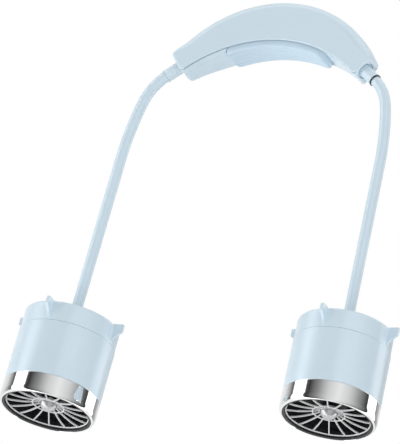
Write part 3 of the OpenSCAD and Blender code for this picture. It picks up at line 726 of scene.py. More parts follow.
@dataclass
class Housing:
    """The arch, its pad and what its back face carries."""

    outer_r: float = 0.0825
    outer_z: float = -0.0505
    inner_r: float = 0.092
    inner_z: float = -0.088
    depth: float = 0.0235
    wall: float = 0.0018
    end_wall: float = 0.003
    outer_round: float = 0.004
    front_round: float = 0.0062
    inner_round: float = 0.0008
    least_round: float = 0.0002
    end_round: float = 0.0013
    end_fade: float = 0.009
    corner: float = 0.0028
    corner_reach: float = 1.6
    arc_steps: int = 72
    front_steps: int = 9
    seam_y: float = -0.005
    seam_gap: float = 0.0001
    mouth: Point = (0.0731, -0.0198)
    mouth_angle: float = 38.0
    collar_out: float = 0.0099
    pad_t: float = 0.004
    pad_angle: float = 44.0
    pad_depth: float = 0.0204
    pad_corner: float = 0.0042
    pad_round: float = 0.0015
    pad_groove: float = 0.0005
    pad_ridges: int = 5
    button_z: float = 0.0196
    button_r: float = 0.0044
    button_proud: float = 0.0009
    button_sunk: float = 0.0011
    button_gap: float = 0.00025
    light_z: float = 0.0266
    light_r: float = 0.001
    usb_z: float = 0.0113
    usb_size: Point = (0.00914, 0.00346)
    screw_places: tuple[Point, ...] = ((0.0185, 0.026), (0.061, -0.0012))
    screw_head_r: float = 0.002
    screw_head_h: float = 0.0014
    screw_bore: float = 0.0011
    screw_boss_r: float = 0.003
    taper_x: float = 0.04
    taper_angle: float = 17.5
    taper_soft: float = 0.006
    taper_strips: int = 6
    groove_front: float = -0.01125
    groove_back: float = -0.01
    groove_deep: float = 0.0022
    pad_gap: float = 0.0006
    pad_sunk: float = 0.001

    @property
    def end_out(self) -> Vector:
        """Direction out of the right end, along its collar's axis."""
        return heading(90 + self.mouth_angle)

    @property
    def end_up(self) -> Vector:
        """Direction along the right end face, up and outwards."""
        return Vector((-self.end_out.y, self.end_out.x))

    @property
    def end_middle(self) -> Vector:
        """Where the collar's axis meets the right end face."""
        return Vector(self.mouth) - self.collar_out * self.end_out

    def end_corner(self, centre_z: float, radius: float, inset: float) -> Vector:
        """Where the right end face meets a round face.

        Args:
            centre_z: Height of the round face's centre.
            radius: Its radius.
            inset: How far the end face is moved inwards.

        Returns:
            The corner.
        """
        start = self.end_middle - inset * self.end_out
        off = start - Vector((0, centre_z))
        along = off.dot(self.end_up)
        reach = math.sqrt(along * along - off.dot(off) + radius * radius) - along
        return start + reach * self.end_up

    def outline(self, inset: float, end_inset: float) -> list[Point]:
        """The arch's outline seen from the front, over the top from left to right and back.

        Args:
            inset: How far its round faces are moved inwards.
            end_inset: How far its end faces are.

        Returns:
            Sideways place and height of each point.
        """
        outer_r, inner_r = self.outer_r - inset, self.inner_r + inset
        out = self.end_corner(self.outer_z, outer_r, end_inset)
        low = self.end_corner(self.inner_z, inner_r, end_inset)
        free = self.corner_reach * self.corner
        out_turn = math.degrees(math.atan2(out.x, out.y - self.outer_z) - free / outer_r)
        low_turn = math.degrees(math.atan2(low.x, low.y - self.inner_z) - free / inner_r)
        over = arc((0, self.outer_z), outer_r, -out_turn, out_turn, self.arc_steps)
        back = arc((0, self.inner_z), inner_r, low_turn, -low_turn, self.arc_steps)
        corners = [(*point, 0.0) for point in over] + [(*out, self.corner), (*low, self.corner)]
        corners += [(*point, 0.0) for point in back]
        corners += [(-low.x, low.y, self.corner), (-out.x, out.y, self.corner)]
        return rounded(corners, 6)

    def edge_round(self, x: float, z: float, outer: float) -> float:
        """Rounding of the arch's long edge at a place of its outline.

        Args:
            x: Sideways place.
            z: Height.
            outer: The rounding over the top of the arch.

        Returns:
            The rounding's radius.
        """
        flat = Vector((abs(x), z))
        off_inner = (flat - Vector((0, self.inner_z))).length - self.inner_r
        off_end = (self.end_middle - flat).dot(self.end_out)
        low = min(1.0, max(0.0, off_inner / self.corner))
        side_round = self.inner_round + (self.end_round - self.inner_round) * low
        if off_inner < self.corner:
            return side_round
        rise = min(1.0, max(0.0, off_end / (self.end_fade * outer / self.outer_round)))
        return side_round + (outer - side_round) * rise * rise * (3 - 2 * rise)

    def crease(self, k: int) -> float:
        """Sideways place of an edge of the strips round the back's crease."""
        return self.taper_x + self.taper_soft * (2 * k / self.taper_strips - 1)

    def drop(self, x: float) -> float:
        """How far the back runs forwards at a sideways place, flat within each strip of its crease.

        Args:
            x: The sideways place.

        Returns:
            The distance from the back of the arch's middle.
        """
        slope = math.tan(math.radians(self.taper_angle))
        if abs(x) >= self.taper_x + self.taper_soft:
            return slope * (abs(x) - self.taper_x)
        drops = [slope * self.taper_soft * (k / self.taper_strips) ** 2 for k in range(self.taper_strips + 1)]
        share = (abs(x) - self.crease(0)) / (2 * self.taper_soft) * self.taper_strips
        k = max(0, math.floor(share))
        return drops[k] + (drops[k + 1] - drops[k]) * max(0.0, share - k)

    def block(self, inset: float, end_inset: float, steps: int) -> Shape:
        """The arch as one solid, raised from its outline in rings that follow its rounded edges.

        Args:
            inset: How far its round and flat faces are moved inwards.
            end_inset: How far its end faces are.
            steps: Number of rings across each rounding of the back, or none for sharp edges.

        Returns:
            The solid.
        """
        outline = self.outline(inset, end_inset)
        half = self.depth / 2 - inset
        after, before = outline[1:] + outline[:1], outline[-1:] + outline[:-1]
        ways = [(Vector(b) - Vector(a)).normalized() for a, b in zip(before, after)]
        soft = [max(self.least_round, self.edge_round(x, z, self.front_round) - inset) for x, z in outline]
        crisp = [self.edge_round(x, z, self.outer_round) if steps else 0.0 for x, z in outline]
        quarter = math.pi / 2
        front = [(-1, quarter * i / self.front_steps) for i in range(self.front_steps, -1, -1)]
        back = [(1, quarter * i / steps) for i in range(steps + 1)] if steps else [(1, quarter)]
        shape = Shape()
        index = shape.bm.verts.layers.int.new("index")
        face = shape.bm.faces.new([shape.bm.verts.new((x, 0, z)) for x, z in outline])
        for i, v in enumerate(face.verts):
            v[index] = i
        verts, edges = list(face.verts), list(face.edges)
        for number, (sign, turn) in enumerate(front + back):
            if number:
                verts, edges = shape.pull(edges)
            rounds = soft if sign < 0 else crisp
            for v in verts:
                i = v[index]
                inwards = rounds[i] * (1 - math.cos(turn))
                x, z = outline[i][0] + inwards * ways[i].y, outline[i][1] - inwards * ways[i].x
                v.co = (x, sign * (half - rounds[i] * (1 - math.sin(turn))), z)
        bmesh.ops.holes_fill(shape.bm, edges=edges)
        for sign in (-1, 1):
            for k in range(self.taper_strips + 1):
                whole = shape.bm.verts[:] + shape.bm.edges[:] + shape.bm.faces[:]
                place = (sign * self.crease(k), 0, 0)
                bmesh.ops.bisect_plane(shape.bm, geom=whole, plane_co=place, plane_no=(1, 0, 0))
        for v in shape.bm.verts:
            if v.co.y > 0:
                v.co.y -= self.drop(v.co.x)
        return shape

    def end_cutter(self, side: Side) -> bpy.types.Object:
        """What is cut from an end: a shallow dish round the collar, and the collar's bore.

        Args:
            side: The end's side.

        Returns:
            The cutter.
        """
        shape = Shape()
        dish_r, dish_h, lip = 0.0055, 0.0019, 0.0008
        bore_r, deep = 0.0041, 0.007
        corners = [
            (0, lip, 0), (dish_r + lip, lip, 0), (dish_r + lip * 0.55, 0, lip), (dish_r, -dish_h, lip),
            (bore_r, -dish_h, 0), (bore_r, -deep, 0), (0, -deep, 0),
        ]
        shape.lathe(rounded(corners), 48, closed=False)
        middle = Vector((self.end_middle.x, self.seam_y, self.end_middle.y))
        turn = Matrix.Rotation(math.radians(90 + self.mouth_angle), 4, "Y")
        shape.place(Matrix.Translation(middle) @ turn)
        return shape.to_object("end cutter", side is Side.LEFT)

    def plug(self, shape: Shape, x: float, z: float, profile: Sequence[Point]) -> None:
        """Adds a round plug whose axis runs from front to back.

        Args:
            shape: The mesh that it goes in.
            x: Sideways place of its axis.
            z: Height of its axis.
            profile: Radius and place from front to back of each point.
        """
        shape.place(Matrix.Translation((x, 0, z)) @ TO_BACK, shape.lathe(profile, 32, closed=False))

    def back_cutter(self) -> bpy.types.Object:
        """What is cut from the back face: the button's, the light's and the socket's holes.

        Returns:
            The cutter.
        """
        shape = Shape()
        back, deep = self.depth / 2, 0.005
        for z, radius in ((self.button_z, self.button_r + self.button_gap), (self.light_z, self.light_r)):
            low, high = back - deep, back + deep
            self.plug(shape, 0, z, rectangle(0, radius, low, high))
        half_w, half_h = self.usb_size[0] / 2, self.usb_size[1] / 2
        ends = rectangle(-half_w, half_w, -half_h, half_h)
        slot = rounded([(*end, half_h * 0.98) for end in ends], 8)
        shape.place(Matrix.Translation((0, back, self.usb_z)) @ TO_BACK, shape.prism(slot, -deep, deep))
        return shape.to_object("back cutter")

    def screw_plugs(self, radius: float, head_r: float) -> bpy.types.Object:
        """Plugs at the screws' places, wider from their heads backwards.

        Args:
            radius: Their radius.
            head_r: Their radius from the heads backwards.

        Returns:
            The plugs.
        """
        shape = Shape()
        reach = self.depth
        for x, z in self.screw_places:
            head = self.depth / 2 - self.drop(x + self.screw_head_r) - self.screw_head_h
            step = [(radius, head), (head_r, head)] if head_r > radius else []
            for sign in (-1, 1):
                ends = [(0, -reach), (radius, -reach)] + step + [(max(radius, head_r), reach), (0, reach)]
                self.plug(shape, sign * x, z, ends)
        return shape.to_object("screw plugs")

    def front_bores(self) -> bpy.types.Object:
        """The blind holes that the screws' tips go in.

        Returns:
            The cutter.
        """
        shape = Shape()
        low, radius = -0.009, self.screw_bore
        for x, z in self.screw_places:
            for sign in (-1, 1):
                self.plug(shape, sign * x, z, rectangle(0, radius, low, 0))
        return shape.to_object("front bores")

    def groove_cutter(self) -> bpy.types.Object:
        """The narrow groove behind the inner edge of the front face.

        Returns:
            The cutter.
        """
        shape = Shape()
        near, far = self.inner_r - self.groove_deep, self.inner_r + self.groove_deep
        shape.lathe(rectangle(near, far, self.groove_front, self.groove_back), 480)
        shape.place(Matrix.Translation((0, 0, self.inner_z)) @ TO_BACK)
        return shape.to_object("groove cutter")

    def shell(self, front: bool) -> bpy.types.Object:
        """One half of the shell.

        Args:
            front: Whether it is the front half.

        Returns:
            The piece.
        """
        node = "front_shell" if front else "rear_shell"
        piece = self.block(0.0, 0.0, 7).to_object(node + "_skin")
        bm = bmesh.new()
        bm.from_mesh(piece.data)
        gap = -self.seam_gap / 2 if front else self.seam_gap / 2
        kept_side = {"clear_outer": front, "clear_inner": not front}
        whole, place = bm.verts[:] + bm.edges[:] + bm.faces[:], (0, self.seam_y + gap, 0)
        cut = bmesh.ops.bisect_plane(bm, geom=whole, plane_co=place, plane_no=(0, 1, 0), **kept_side)
        bmesh.ops.holes_fill(bm, edges=only(BMEdge, cut["geom_cut"]))
        face_outwards(bm)
        bm.to_mesh(piece.data)
        bm.free()
        cavity = self.block(self.wall, self.end_wall, 0).to_object("cavity")
        carve(cavity, self.screw_plugs(self.screw_boss_r, self.screw_boss_r))
        cutters = [cavity, self.pad_recess()] + [self.end_cutter(side) for side in Side]
        if front:
            cutters += [self.groove_cutter(), self.front_bores()]
        else:
            cutters += [self.back_cutter(), self.screw_plugs(self.screw_bore, self.screw_head_r)]
        carve(piece, *cutters)
        return dress(piece, SHELL, "housing", [node], 28.0)

    def pad_height(self, along: float, across: float) -> float:
        """How far the pad's face stands off the arch.

        Args:
            along: Place along the pad, from its middle.
            across: Place across it, from its middle.

        Returns:
            The height.
        """
        half_l, half_d = self.pad_length / 2, self.pad_depth / 2
        in_l, in_d = half_l - self.pad_corner, half_d - self.pad_corner
        corner = math.hypot(max(0.0, abs(along) - in_l), max(0.0, abs(across) - in_d))
        edge = self.pad_corner - corner
        if corner == 0:
            edge = min(half_l - abs(along), half_d - abs(across))
        short = max(0.0, self.pad_round - edge)
        curve = self.pad_round - math.sqrt(max(0.0, self.pad_round**2 - short**2))
        wave = 1 - math.cos(math.tau * across * self.pad_ridges / self.pad_depth)
        fade = min(1.0, max(0.0, (edge - self.pad_round / 2) / self.pad_round))
        return self.pad_t - curve - self.pad_groove * wave / 2 * fade

    @property
    def pad_length(self) -> float:
        """Length of the pad along its face."""
        return math.radians(self.pad_angle) * (self.inner_r - self.pad_t)

    def on_arch(self, steps: Sequence[int], grow: float, low: float, top: HeightAt) -> Shape:
        """A plate with the pad's outline, bent round the arch's inner face.

        Args:
            steps: Number of its squares along and across.
            grow: How far its outline stands outside the pad's.
            low: Height of its base above the inner face.
            top: Gives its height from the places along and across.

        Returns:
            The plate.
        """
        shape = Shape()
        bm = shape.bm
        half_l, half_d = self.pad_length / 2 + grow, self.pad_depth / 2 + grow
        corner = self.pad_corner + grow
        bmesh.ops.create_grid(bm, x_segments=steps[0], y_segments=steps[1], size=1)
        for v in bm.verts:
            x, y = v.co.x * half_l, v.co.y * half_d
            qx = (abs(x) - half_l + corner) / corner
            qy = (abs(y) - half_d + corner) / corner
            if qx > 0 and qy > 0:
                pull = max(qx, qy) / math.hypot(qx, qy)
                x = math.copysign(half_l - corner + qx * pull * corner, x)
                y = math.copysign(half_d - corner + qy * pull * corner, y)
            v.co = (x, y, low)
        raised = bmesh.ops.extrude_face_region(bm, geom=bm.faces[:])["geom"]
        for v in only(BMVert, raised):
            v.co.z = top(v.co.x, v.co.y)
        for v in bm.verts:
            turn = v.co.x / (self.inner_r - self.pad_t)
            radius = self.inner_r - v.co.z
            v.co = (radius * math.sin(turn), v.co.y, self.inner_z + radius * math.cos(turn))
        return shape

    def pad_recess(self) -> bpy.types.Object:
        """The recess that the pad is sunk in, a little wider than the pad all round.

        Returns:
            The cutter.
        """
        plate = self.on_arch((64, 24), self.pad_gap, -self.pad_sunk, lambda along, across: self.pad_t / 2)
        return plate.to_object("pad recess")

    def pad(self) -> bpy.types.Object:
        """The neck pad: a moulded silicone pad with lengthwise ridges and soft edges.

        Returns:
            The piece.
        """
        shape = self.on_arch((110, 64), 0.0, self.seam_gap / 2 - self.pad_sunk, self.pad_height)
        return dress(shape.to_object("neck_pad_skin"), PAD, "housing", ["neck_pad"], 50.0)

    def button(self) -> bpy.types.Object:
        """The power button, with a dished face.

        Returns:
            The piece.
        """
        shape = Shape()
        back, radius = self.depth / 2, self.button_r
        low, top = back - self.wall - self.button_sunk, back + self.button_proud
        flange_r, flange_h, pin_r, pin_h = 0.0052, 0.001, 0.001, 0.0022
        dish, slope, soft, lip, edge = 0.00045, 0.0003, 0.002, 0.0006, 0.0005
        corners = [
            (0, top - dish, 0), (radius * 0.55, top - slope, soft), (radius - lip, top, edge),
            (radius, top - edge, SOFT), (radius, low + flange_h, 0), (flange_r, low + flange_h, FINE),
            (flange_r, low, FINE), (pin_r, low, 0), (pin_r, low - pin_h, 0), (0, low - pin_h, 0),
        ]
        shape.lathe(rounded(corners), 64, closed=False)
        shape.place(Matrix.Translation((0, 0, self.button_z)) @ TO_BACK)
        made = shape.to_object("power_button_skin")
        return dress(made, SHELL, "power_button", ["power_button"])

    def build(self) -> None:
        """Builds the housing's pieces."""
        self.shell(True)
        self.shell(False)
        self.pad()
        self.button()


@dataclass
class Leg:
    """A bendable leg: its collar and seal ring, its sleeve and its wound core."""

    side: Side
    housing: Housing
    plane_y: float = -0.005
    curve_r: float = 0.034
    curve_angle: float = 76.0
    sweep_r: float = 0.2
    splay: float = 2.4
    upper_l: float = 0.034
    bend_l: float = 0.024
    lower_l: float = 0.031
    ferrule_out: float = 0.0012
    sleeve_r: float = 0.0035
    sleeve_bore: float = 0.0024
    sleeve_in: float = 0.006
    head_in: float = 0.00495
    core_r: float = 0.0023
    core_bore: float = 0.0014
    core_in: float = 0.0199
    core_head_in: float = 0.007
    wire_r: float = 0.0009
    wire_in: float = 0.05
    collar_bore: float = 0.0036
    swing_slope: float = 70.0
    swing_reach: float = 0.017
    ring_pitch: float = 0.001
    ring_sides: int = 32
    sharp_angle: float = 60.0

    def in_plane(self, flat: Vector) -> Vector:
        """A place in the leg's plane, from its sideways place and its height."""
        return Vector((flat.x, self.plane_y, flat.y))

    @property
    def mouth(self) -> Vector:
        """The middle of the right collar's mouth."""
        return self.in_plane(Vector(self.housing.mouth))

    @property
    def curve_centre(self) -> Vector:
        """Centre of the first curve, in the leg's plane."""
        return Vector(self.housing.mouth) - self.curve_r * heading(self.housing.mouth_angle)

    @property
    def sweep_centre(self) -> Vector:
        """Centre of the second curve, in the leg's plane."""
        return self.curve_centre + (self.curve_r - self.sweep_r) * heading(self.curve_angle)

    def down(self, distance: float) -> Vector:
        """A place down the straight leg on the right side.

        Args:
            distance: How far it lies below the second curve.

        Returns:
            The place.
        """
        start = self.sweep_centre + self.sweep_r * heading(90 - self.splay)
        return self.in_plane(start + distance * heading(180 - self.splay))

    def on_side(self, place: Vector) -> Vector:
        """A right-hand place, moved to this leg's side."""
        return Vector((place.x * self.side.value, place.y, place.z))

    @property
    def middle_from(self) -> float:
        """Where the middle bending length starts."""
        return self.upper_l

    @property
    def lower_from(self) -> float:
        """Where the stiff lower length starts."""
        return self.upper_l + self.bend_l

    @property
    def ankle_from(self) -> float:
        """Where the lower bending length starts."""
        return self.lower_from + self.lower_l

    @property
    def cap_top(self) -> float:
        """Where the head's cap is."""
        return self.ankle_from + self.bend_l + self.ferrule_out

    def start_ring(self, shape: Shape, centre: Vector, lean: float, radii: Point) -> list:
        """Two rings, the outside and the bore, square to the leg.

        Args:
            shape: The mesh that they go in.
            centre: Their centre.
            lean: The leg's angle below the horizontal there.
            radii: Radius outside and inside.

        Returns:
            The rings' edges.
        """
        turn = Matrix.Translation(centre) @ Matrix.Rotation(math.radians(90 + lean), 4, "Y")
        kept = set(shape.bm.edges)
        for radius in radii:
            bmesh.ops.create_circle(shape.bm, segments=self.ring_sides, radius=radius, matrix=turn)
        return [e for e in shape.bm.edges if e not in kept]

    def run_straight(self, shape: Shape, rings: list, way: Vector, steps: int) -> list:
        """Carries rings along a straight.

        Args:
            shape: The mesh.
            rings: The last rings' edges.
            way: The whole way.
            steps: Number of new rings.

        Returns:
            The new last rings' edges.
        """
        for _ in range(steps):
            verts, rings = shape.pull(rings)
            bmesh.ops.translate(shape.bm, verts=verts, vec=way / steps)
        return rings

    def run_round(self, shape: Shape, rings: list, centre: Vector, angle: float, steps: int) -> list:
        """Carries rings round a curve.

        Args:
            shape: The mesh.
            rings: The last rings' edges.
            centre: The curve's centre, in the leg's plane.
            angle: How far it turns.
            steps: Number of new rings.

        Returns:
            The new last rings' edges.
        """
        turn = {"cent": self.in_plane(centre), "axis": (0, 1, 0), "angle": math.radians(angle)}
        return only(BMEdge, bmesh.ops.spin(shape.bm, geom=rings, steps=steps, **turn)["geom_last"])

    def shoulder(self, radii: Point, run_in: float, run_out: float) -> Shape:
        """The length from inside the collar, through both curves, into the straight leg.

        Args:
            radii: Radius outside and inside.
            run_in: How far it starts inside the collar's mouth.
            run_out: How far it goes down the straight leg.

        Returns:
            The mesh.
        """
        shape = Shape()
        out = run_in * Vector((self.housing.end_out.x, 0, self.housing.end_out.y))
        first = self.start_ring(shape, self.mouth - out, self.housing.mouth_angle, radii)
        rings = self.run_straight(shape, first, out, 4)
        bend, sweep = self.curve_angle - self.housing.mouth_angle, 90 - self.splay - self.curve_angle
        rings = self.run_round(shape, rings, self.curve_centre, bend, 26)
        rings = self.run_round(shape, rings, self.sweep_centre, sweep, 24)
        rings = self.run_straight(shape, rings, self.down(run_out) - self.down(0), 6)
        bmesh.ops.bridge_loops(shape.bm, edges=first)
        bmesh.ops.bridge_loops(shape.bm, edges=rings)
        return shape

    def straight(self, radii: Point, start: float, stop: float) -> Shape:
        """A length of the straight leg.

        Args:
            radii: Radius outside and inside.
            start: Where it starts, down the straight leg.
            stop: Where it stops.

        Returns:
            The mesh.
        """
        shape = Shape()
        first = self.start_ring(shape, self.down(start), 90 - self.splay, radii)
        steps = round((stop - start) / self.ring_pitch)
        rings = self.run_straight(shape, first, self.down(stop) - self.down(start), steps)
        bmesh.ops.bridge_loops(shape.bm, edges=first)
        bmesh.ops.bridge_loops(shape.bm, edges=rings)
        return shape

    def wind(self, shape: Shape) -> Shape:
        """Draws every other ring of a straight core in a little, as the turns of a wound spring.

        Args:
            shape: The core's mesh.

        Returns:
            The mesh.
        """
        start, way = self.down(0), (self.down(1) - self.down(0)).normalized()
        for v in shape.bm.verts:
            nearest = start + way * (v.co - start).dot(way)
            off = v.co - nearest
            if off.length > (self.core_r + self.core_bore) / 2:
                turn = math.cos(math.pi * nearest.z / self.wire_r)
                v.co = nearest + off * (1 - self.wire_in * (1 - turn) / 2)
        return shape

    def bend_between(self, first: str, second: str, start: Vector, stop: Vector) -> tuple:
        """What a bending length needs: its two bodies and where it bends on this leg's side."""
        return first, second, tuple(self.on_side(start)), tuple(self.on_side(stop))

    def collar(self) -> None:
        """The collar and the seal ring at its mouth."""
        side, flip = self.side.label, self.side is Side.LEFT
        radius, flange_r, flange_low, flange_top = 0.004, 0.0045, -0.0146, -0.013
        back, bore, core_bore, sleeve_end = -0.02, self.collar_bore, self.sleeve_bore, -self.sleeve_in
        matrix = Matrix.Translation(self.mouth)
        matrix @= Matrix.Rotation(math.radians(90 + self.housing.mouth_angle), 4, "Y")
        shape = Shape()
        shape.turned(
            [
                (bore, 0, FINE), (radius, 0, SOFT), (radius, flange_top, 0), (flange_r, flange_top, FINE),
                (flange_r, flange_low, FINE), (radius, flange_low, 0), (radius, back, SOFT),
                (core_bore, back, 0), (core_bore, sleeve_end, 0), (bore, sleeve_end, 0),
            ]
        )
        made = shape.place(matrix).to_object(side + "_collar_skin", flip)
        dress(made, SHELL, "housing", [side + "_collar"])
        low, high, out, blunt = 0.00005, 0.00105, 0.0041, 0.00035
        ring = Shape()
        ring.turned([(bore, low, FINE), (out, low, FINE), (out, high, blunt), (bore, high, FINE)])
        made = ring.place(matrix).to_object(side + "_seal_ring_skin", flip)
        finish, slot = (SLEEVE, "sleeve_blue") if flip else (BLACK, "black")
        dress(made, finish, "housing", [side + "_seal_ring"])

    def build(self) -> None:
        """Builds the leg's pieces."""
        side = self.side.label
        self.collar()
        upper, lower, head = side + "_upper_leg", side + "_lower_leg", side + "_head"
        hinge = self.curve_centre + self.curve_r * heading(self.curve_angle)
        reach = self.swing_reach * heading(90 + self.swing_slope)
        over, under = self.in_plane(hinge - reach), self.in_plane(hinge + reach)
        cap = self.cap_top - self.ferrule_out
        swing = self.bend_between("housing", upper, over, under)
        fold = self.bend_between(upper, lower, self.down(self.middle_from), self.down(self.lower_from))
        tilt = self.bend_between(lower, head, self.down(self.ankle_from), self.down(cap))
        sleeve, core = (self.sleeve_r, self.sleeve_bore), (self.core_r, self.core_bore)
        blue, steel = (SLEEVE, "sleeve_blue"), (SPRING, "core_steel")
        middle, ankle, stop = self.middle_from, self.ankle_from, self.cap_top + self.head_in
        half_up, half_low = middle / 2, (self.lower_from + ankle) / 2
        top_sleeve = self.shoulder(sleeve, self.sleeve_in, middle)
        wound = self.wind(self.straight(core, half_up, half_low))
        low_wound = self.wind(self.straight(core, half_low, self.cap_top + self.core_head_in))
        runs = (
            ("upper_run", top_sleeve, blue, swing, "shoulder_sleeve", "upper_sleeve"),
            ("middle_run", self.straight(sleeve, middle, ankle), blue, fold, "middle_sleeve", "lower_sleeve"),
            ("ankle_run", self.straight(sleeve, ankle, stop), blue, tilt, "ankle_sleeve"),
            ("upper_winding", self.shoulder(core, self.core_in, half_up), steel, swing, "upper_core"),
            ("middle_winding", wound, steel, fold, "middle_core"),
            ("lower_winding", low_wound, steel, tilt, "lower_core"),
        )
        for name, shape, (finish, slot), bend, *nodes in runs:
            made = shape.to_object(f"{side}_{name}", self.side is Side.LEFT)
            dress(made, finish, bend, [f"{side}_{node}" for node in nodes], self.sharp_angle)


@dataclass
class FanHead:
    """A fan head, built on its own axis with its lip at nothing and its cap above."""

    side: Side
    height: float = 0.063
    radius: float = 0.031
    chrome_h: float = 0.013
    chrome_t: float = 0.0016
    lip_r: float = 0.0288
    lip_h: float = 0.0012
    curl: float = 0.004
    duct_r: float = 0.0277
    spigot_r: float = 0.0293
    spigot_low: float = 0.0053
    seam_h: float = 0.0495
    seam_step: float = 0.0004
    seam_open: float = 0.0002
    seam_round: float = 0.00035
    barrel_round: float = 0.0007
    gap: float = 0.00005
    liner_t: float = 0.0003
    bowl_r: float = 0.0287
    bowl_low: float = 0.025
    bowl_round: float = 0.0005
    duct_top: float = 0.024
    lap: float = 0.001
    cap_r: float = 0.0304
    cap_wall: float = 0.0018
    cap_top: float = 0.002
    cap_round: float = 0.0022
    cap_bore: float = 0.0046
    skirt_h: float = 0.006
    boss_r: float = 0.0066
    boss_h: float = 0.0079
    head_r: float = 0.002
    head_h: float = 0.0014
    screw_h: float = 0.004
    fin_r: float = 0.037
    fin_t: float = 0.002
    fin_root: float = 0.0009
    fin_foot: float = 0.0022
    fin_downs: Corner = (0.005, 0.0086, 0.0122)
    fin_rounds: Corner = (0.0009, 0.0012, 0.0015)
    fins: int = 4
    slots: int = 24
    vanes: int = 6
    vane_t: float = 0.0018
    vane_low: float = 0.026
    vane_top: float = 0.04
    cup_r: float = 0.0116
    cup_bore: float = 0.0099
    cup_hole: float = 0.0032
    cup_top: float = 0.041
    cup_floor: float = 0.0015
    cup_round: float = 0.0012
    posts: int = 3
    post_at: float = 0.02
    post_turn: float = 60.0
    post_r: float = 0.0024
    post_bore: float = 0.0009
    post_mouth: float = 0.0011
    post_down: float = 0.0041
    rim_r: float = 0.02715
    rim_t: float = 0.0009
    recess: float = 0.0017
    dish: float = 0.0034
    ribs: int = 16
    rib_t: float = 0.00072
    rib_h: float = 0.0011
    rim_face_h: float = 0.0008
    rim_collar_t: float = 0.00035
    rib_rise: float = 0.00015
    hub_r: float = 0.0064
    hub_wall: float = 0.00045
    hub_h: float = 0.0024
    hub_seat: float = 0.0016
    dome_h: float = 0.0046
    inner_ring_r: float = 0.0103
    bead_r: float = 0.00085
    bead_flat: float = 0.7
    blades: int = 7
    blade_t: float = 0.0012
    blade_h: float = 0.010
    blade_low: float = 0.0095
    blade_low_angle: float = 15.0
    blade_top_angle: float = 62.0
    fan_r: float = 0.0268
    fan_hub_r: float = 0.0112
    fan_low: float = 0.009
    fan_top: float = 0.0215
    shaft_hole: float = 0.00106
    spin_from_lip: float = 0.015
    matrix: Matrix = field(init=False)

    def __post_init__(self) -> None:
        """Finds the head's place from the axis of its impeller."""
        name = self.side.label + "_fan_spin"
        joint = next(j for j in frame["joints"] if j["name"] == name)
        up = Vector(joint["axis"]).normalized()
        lip = Vector(joint["pos_m"]) - up * self.spin_from_lip
        across = Vector((up.z, 0, -up.x))
        turned = Matrix((across, Vector((0, 1, 0)), up)).transposed().to_4x4()
        self.matrix = Matrix.Translation(lip) @ turned

    def piece(
        self,
        shape: Shape,
        name: str,
        finish: Finish,
        slot: str,
        body: str = "head",
        nodes: Sequence[str] | None = None,
        angle: float = 32.0,
    ) -> bpy.types.Object:
        """Puts a finished shape on the head.

        Args:
            shape: The mesh, in the head's own frame.
            name: The name of the node that it stands for, without its side.
            finish: Its finish.
            slot: The record's material slot; not used.
            body: The body that it rides on, without its side.
            nodes: The nodes that it stands for, without their side.
            angle: The angle between faces from which an edge is sharp.

        Returns:
            The piece.
        """
        side = self.side.label
        made = shape.place(self.matrix).to_object(f"{side}_{name}_skin")
        replaced = [f"{side}_{node}" for node in (nodes or [name])]
        return dress(made, finish, f"{side}_{body}", replaced, angle)

    def chrome(self) -> None:
        """The chrome ring, which curls in to the lip."""
        flat, blunt, edge = 0.00015, 0.00012, 0.00025
        curl_w = self.radius - self.lip_r - flat
        turns = [math.radians(angle) for angle in range(0, 91, 6)]
        curl = [(self.lip_r + flat + curl_w * math.sin(t), self.curl * (1 - math.cos(t))) for t in turns]
        inner = self.radius - self.chrome_t
        profile = curl + [
            (self.radius, self.chrome_h - edge), (self.radius - edge * 0.3, self.chrome_h - edge * 0.3),
            (self.radius - edge, self.chrome_h), (inner, self.chrome_h), (inner, self.lip_h),
            (self.lip_r, self.lip_h), (self.lip_r, blunt), (self.lip_r + blunt, 0),
        ]
        shape = Shape()
        shape.lathe(profile, 160)
        self.piece(shape, "chrome_ring", CHROME, "chrome", angle=40.0)

    def lip(self) -> None:
        """The black ring inside the lip."""
        inner, inset, low, top = 0.02725, 0.00015, 0.0003, 0.00395
        nose, out, step = self.lip_r - inset, self.spigot_r, self.lip_h + self.gap
        corners = [(inner, low, FULL), (nose, low, SOFT), (nose, step, 0)]
        shape = Shape()
        shape.turned(corners + [(out, step, 0), (out, top, 0), (inner, top, FINE / 2)], 128)
        self.piece(shape, "lip_ring", BLACK, "black")

    def dish_at(self, radius: float) -> float:
        """Height of the grille's outer face above the lip.

        Args:
            radius: Distance from the axis.

        Returns:
            The height.
        """
        rim_in = self.rim_r - self.rim_t
        share = (rim_in - radius) / (rim_in - self.hub_r)
        return self.recess + self.rib_rise + (self.dish - self.rib_rise) * share * share

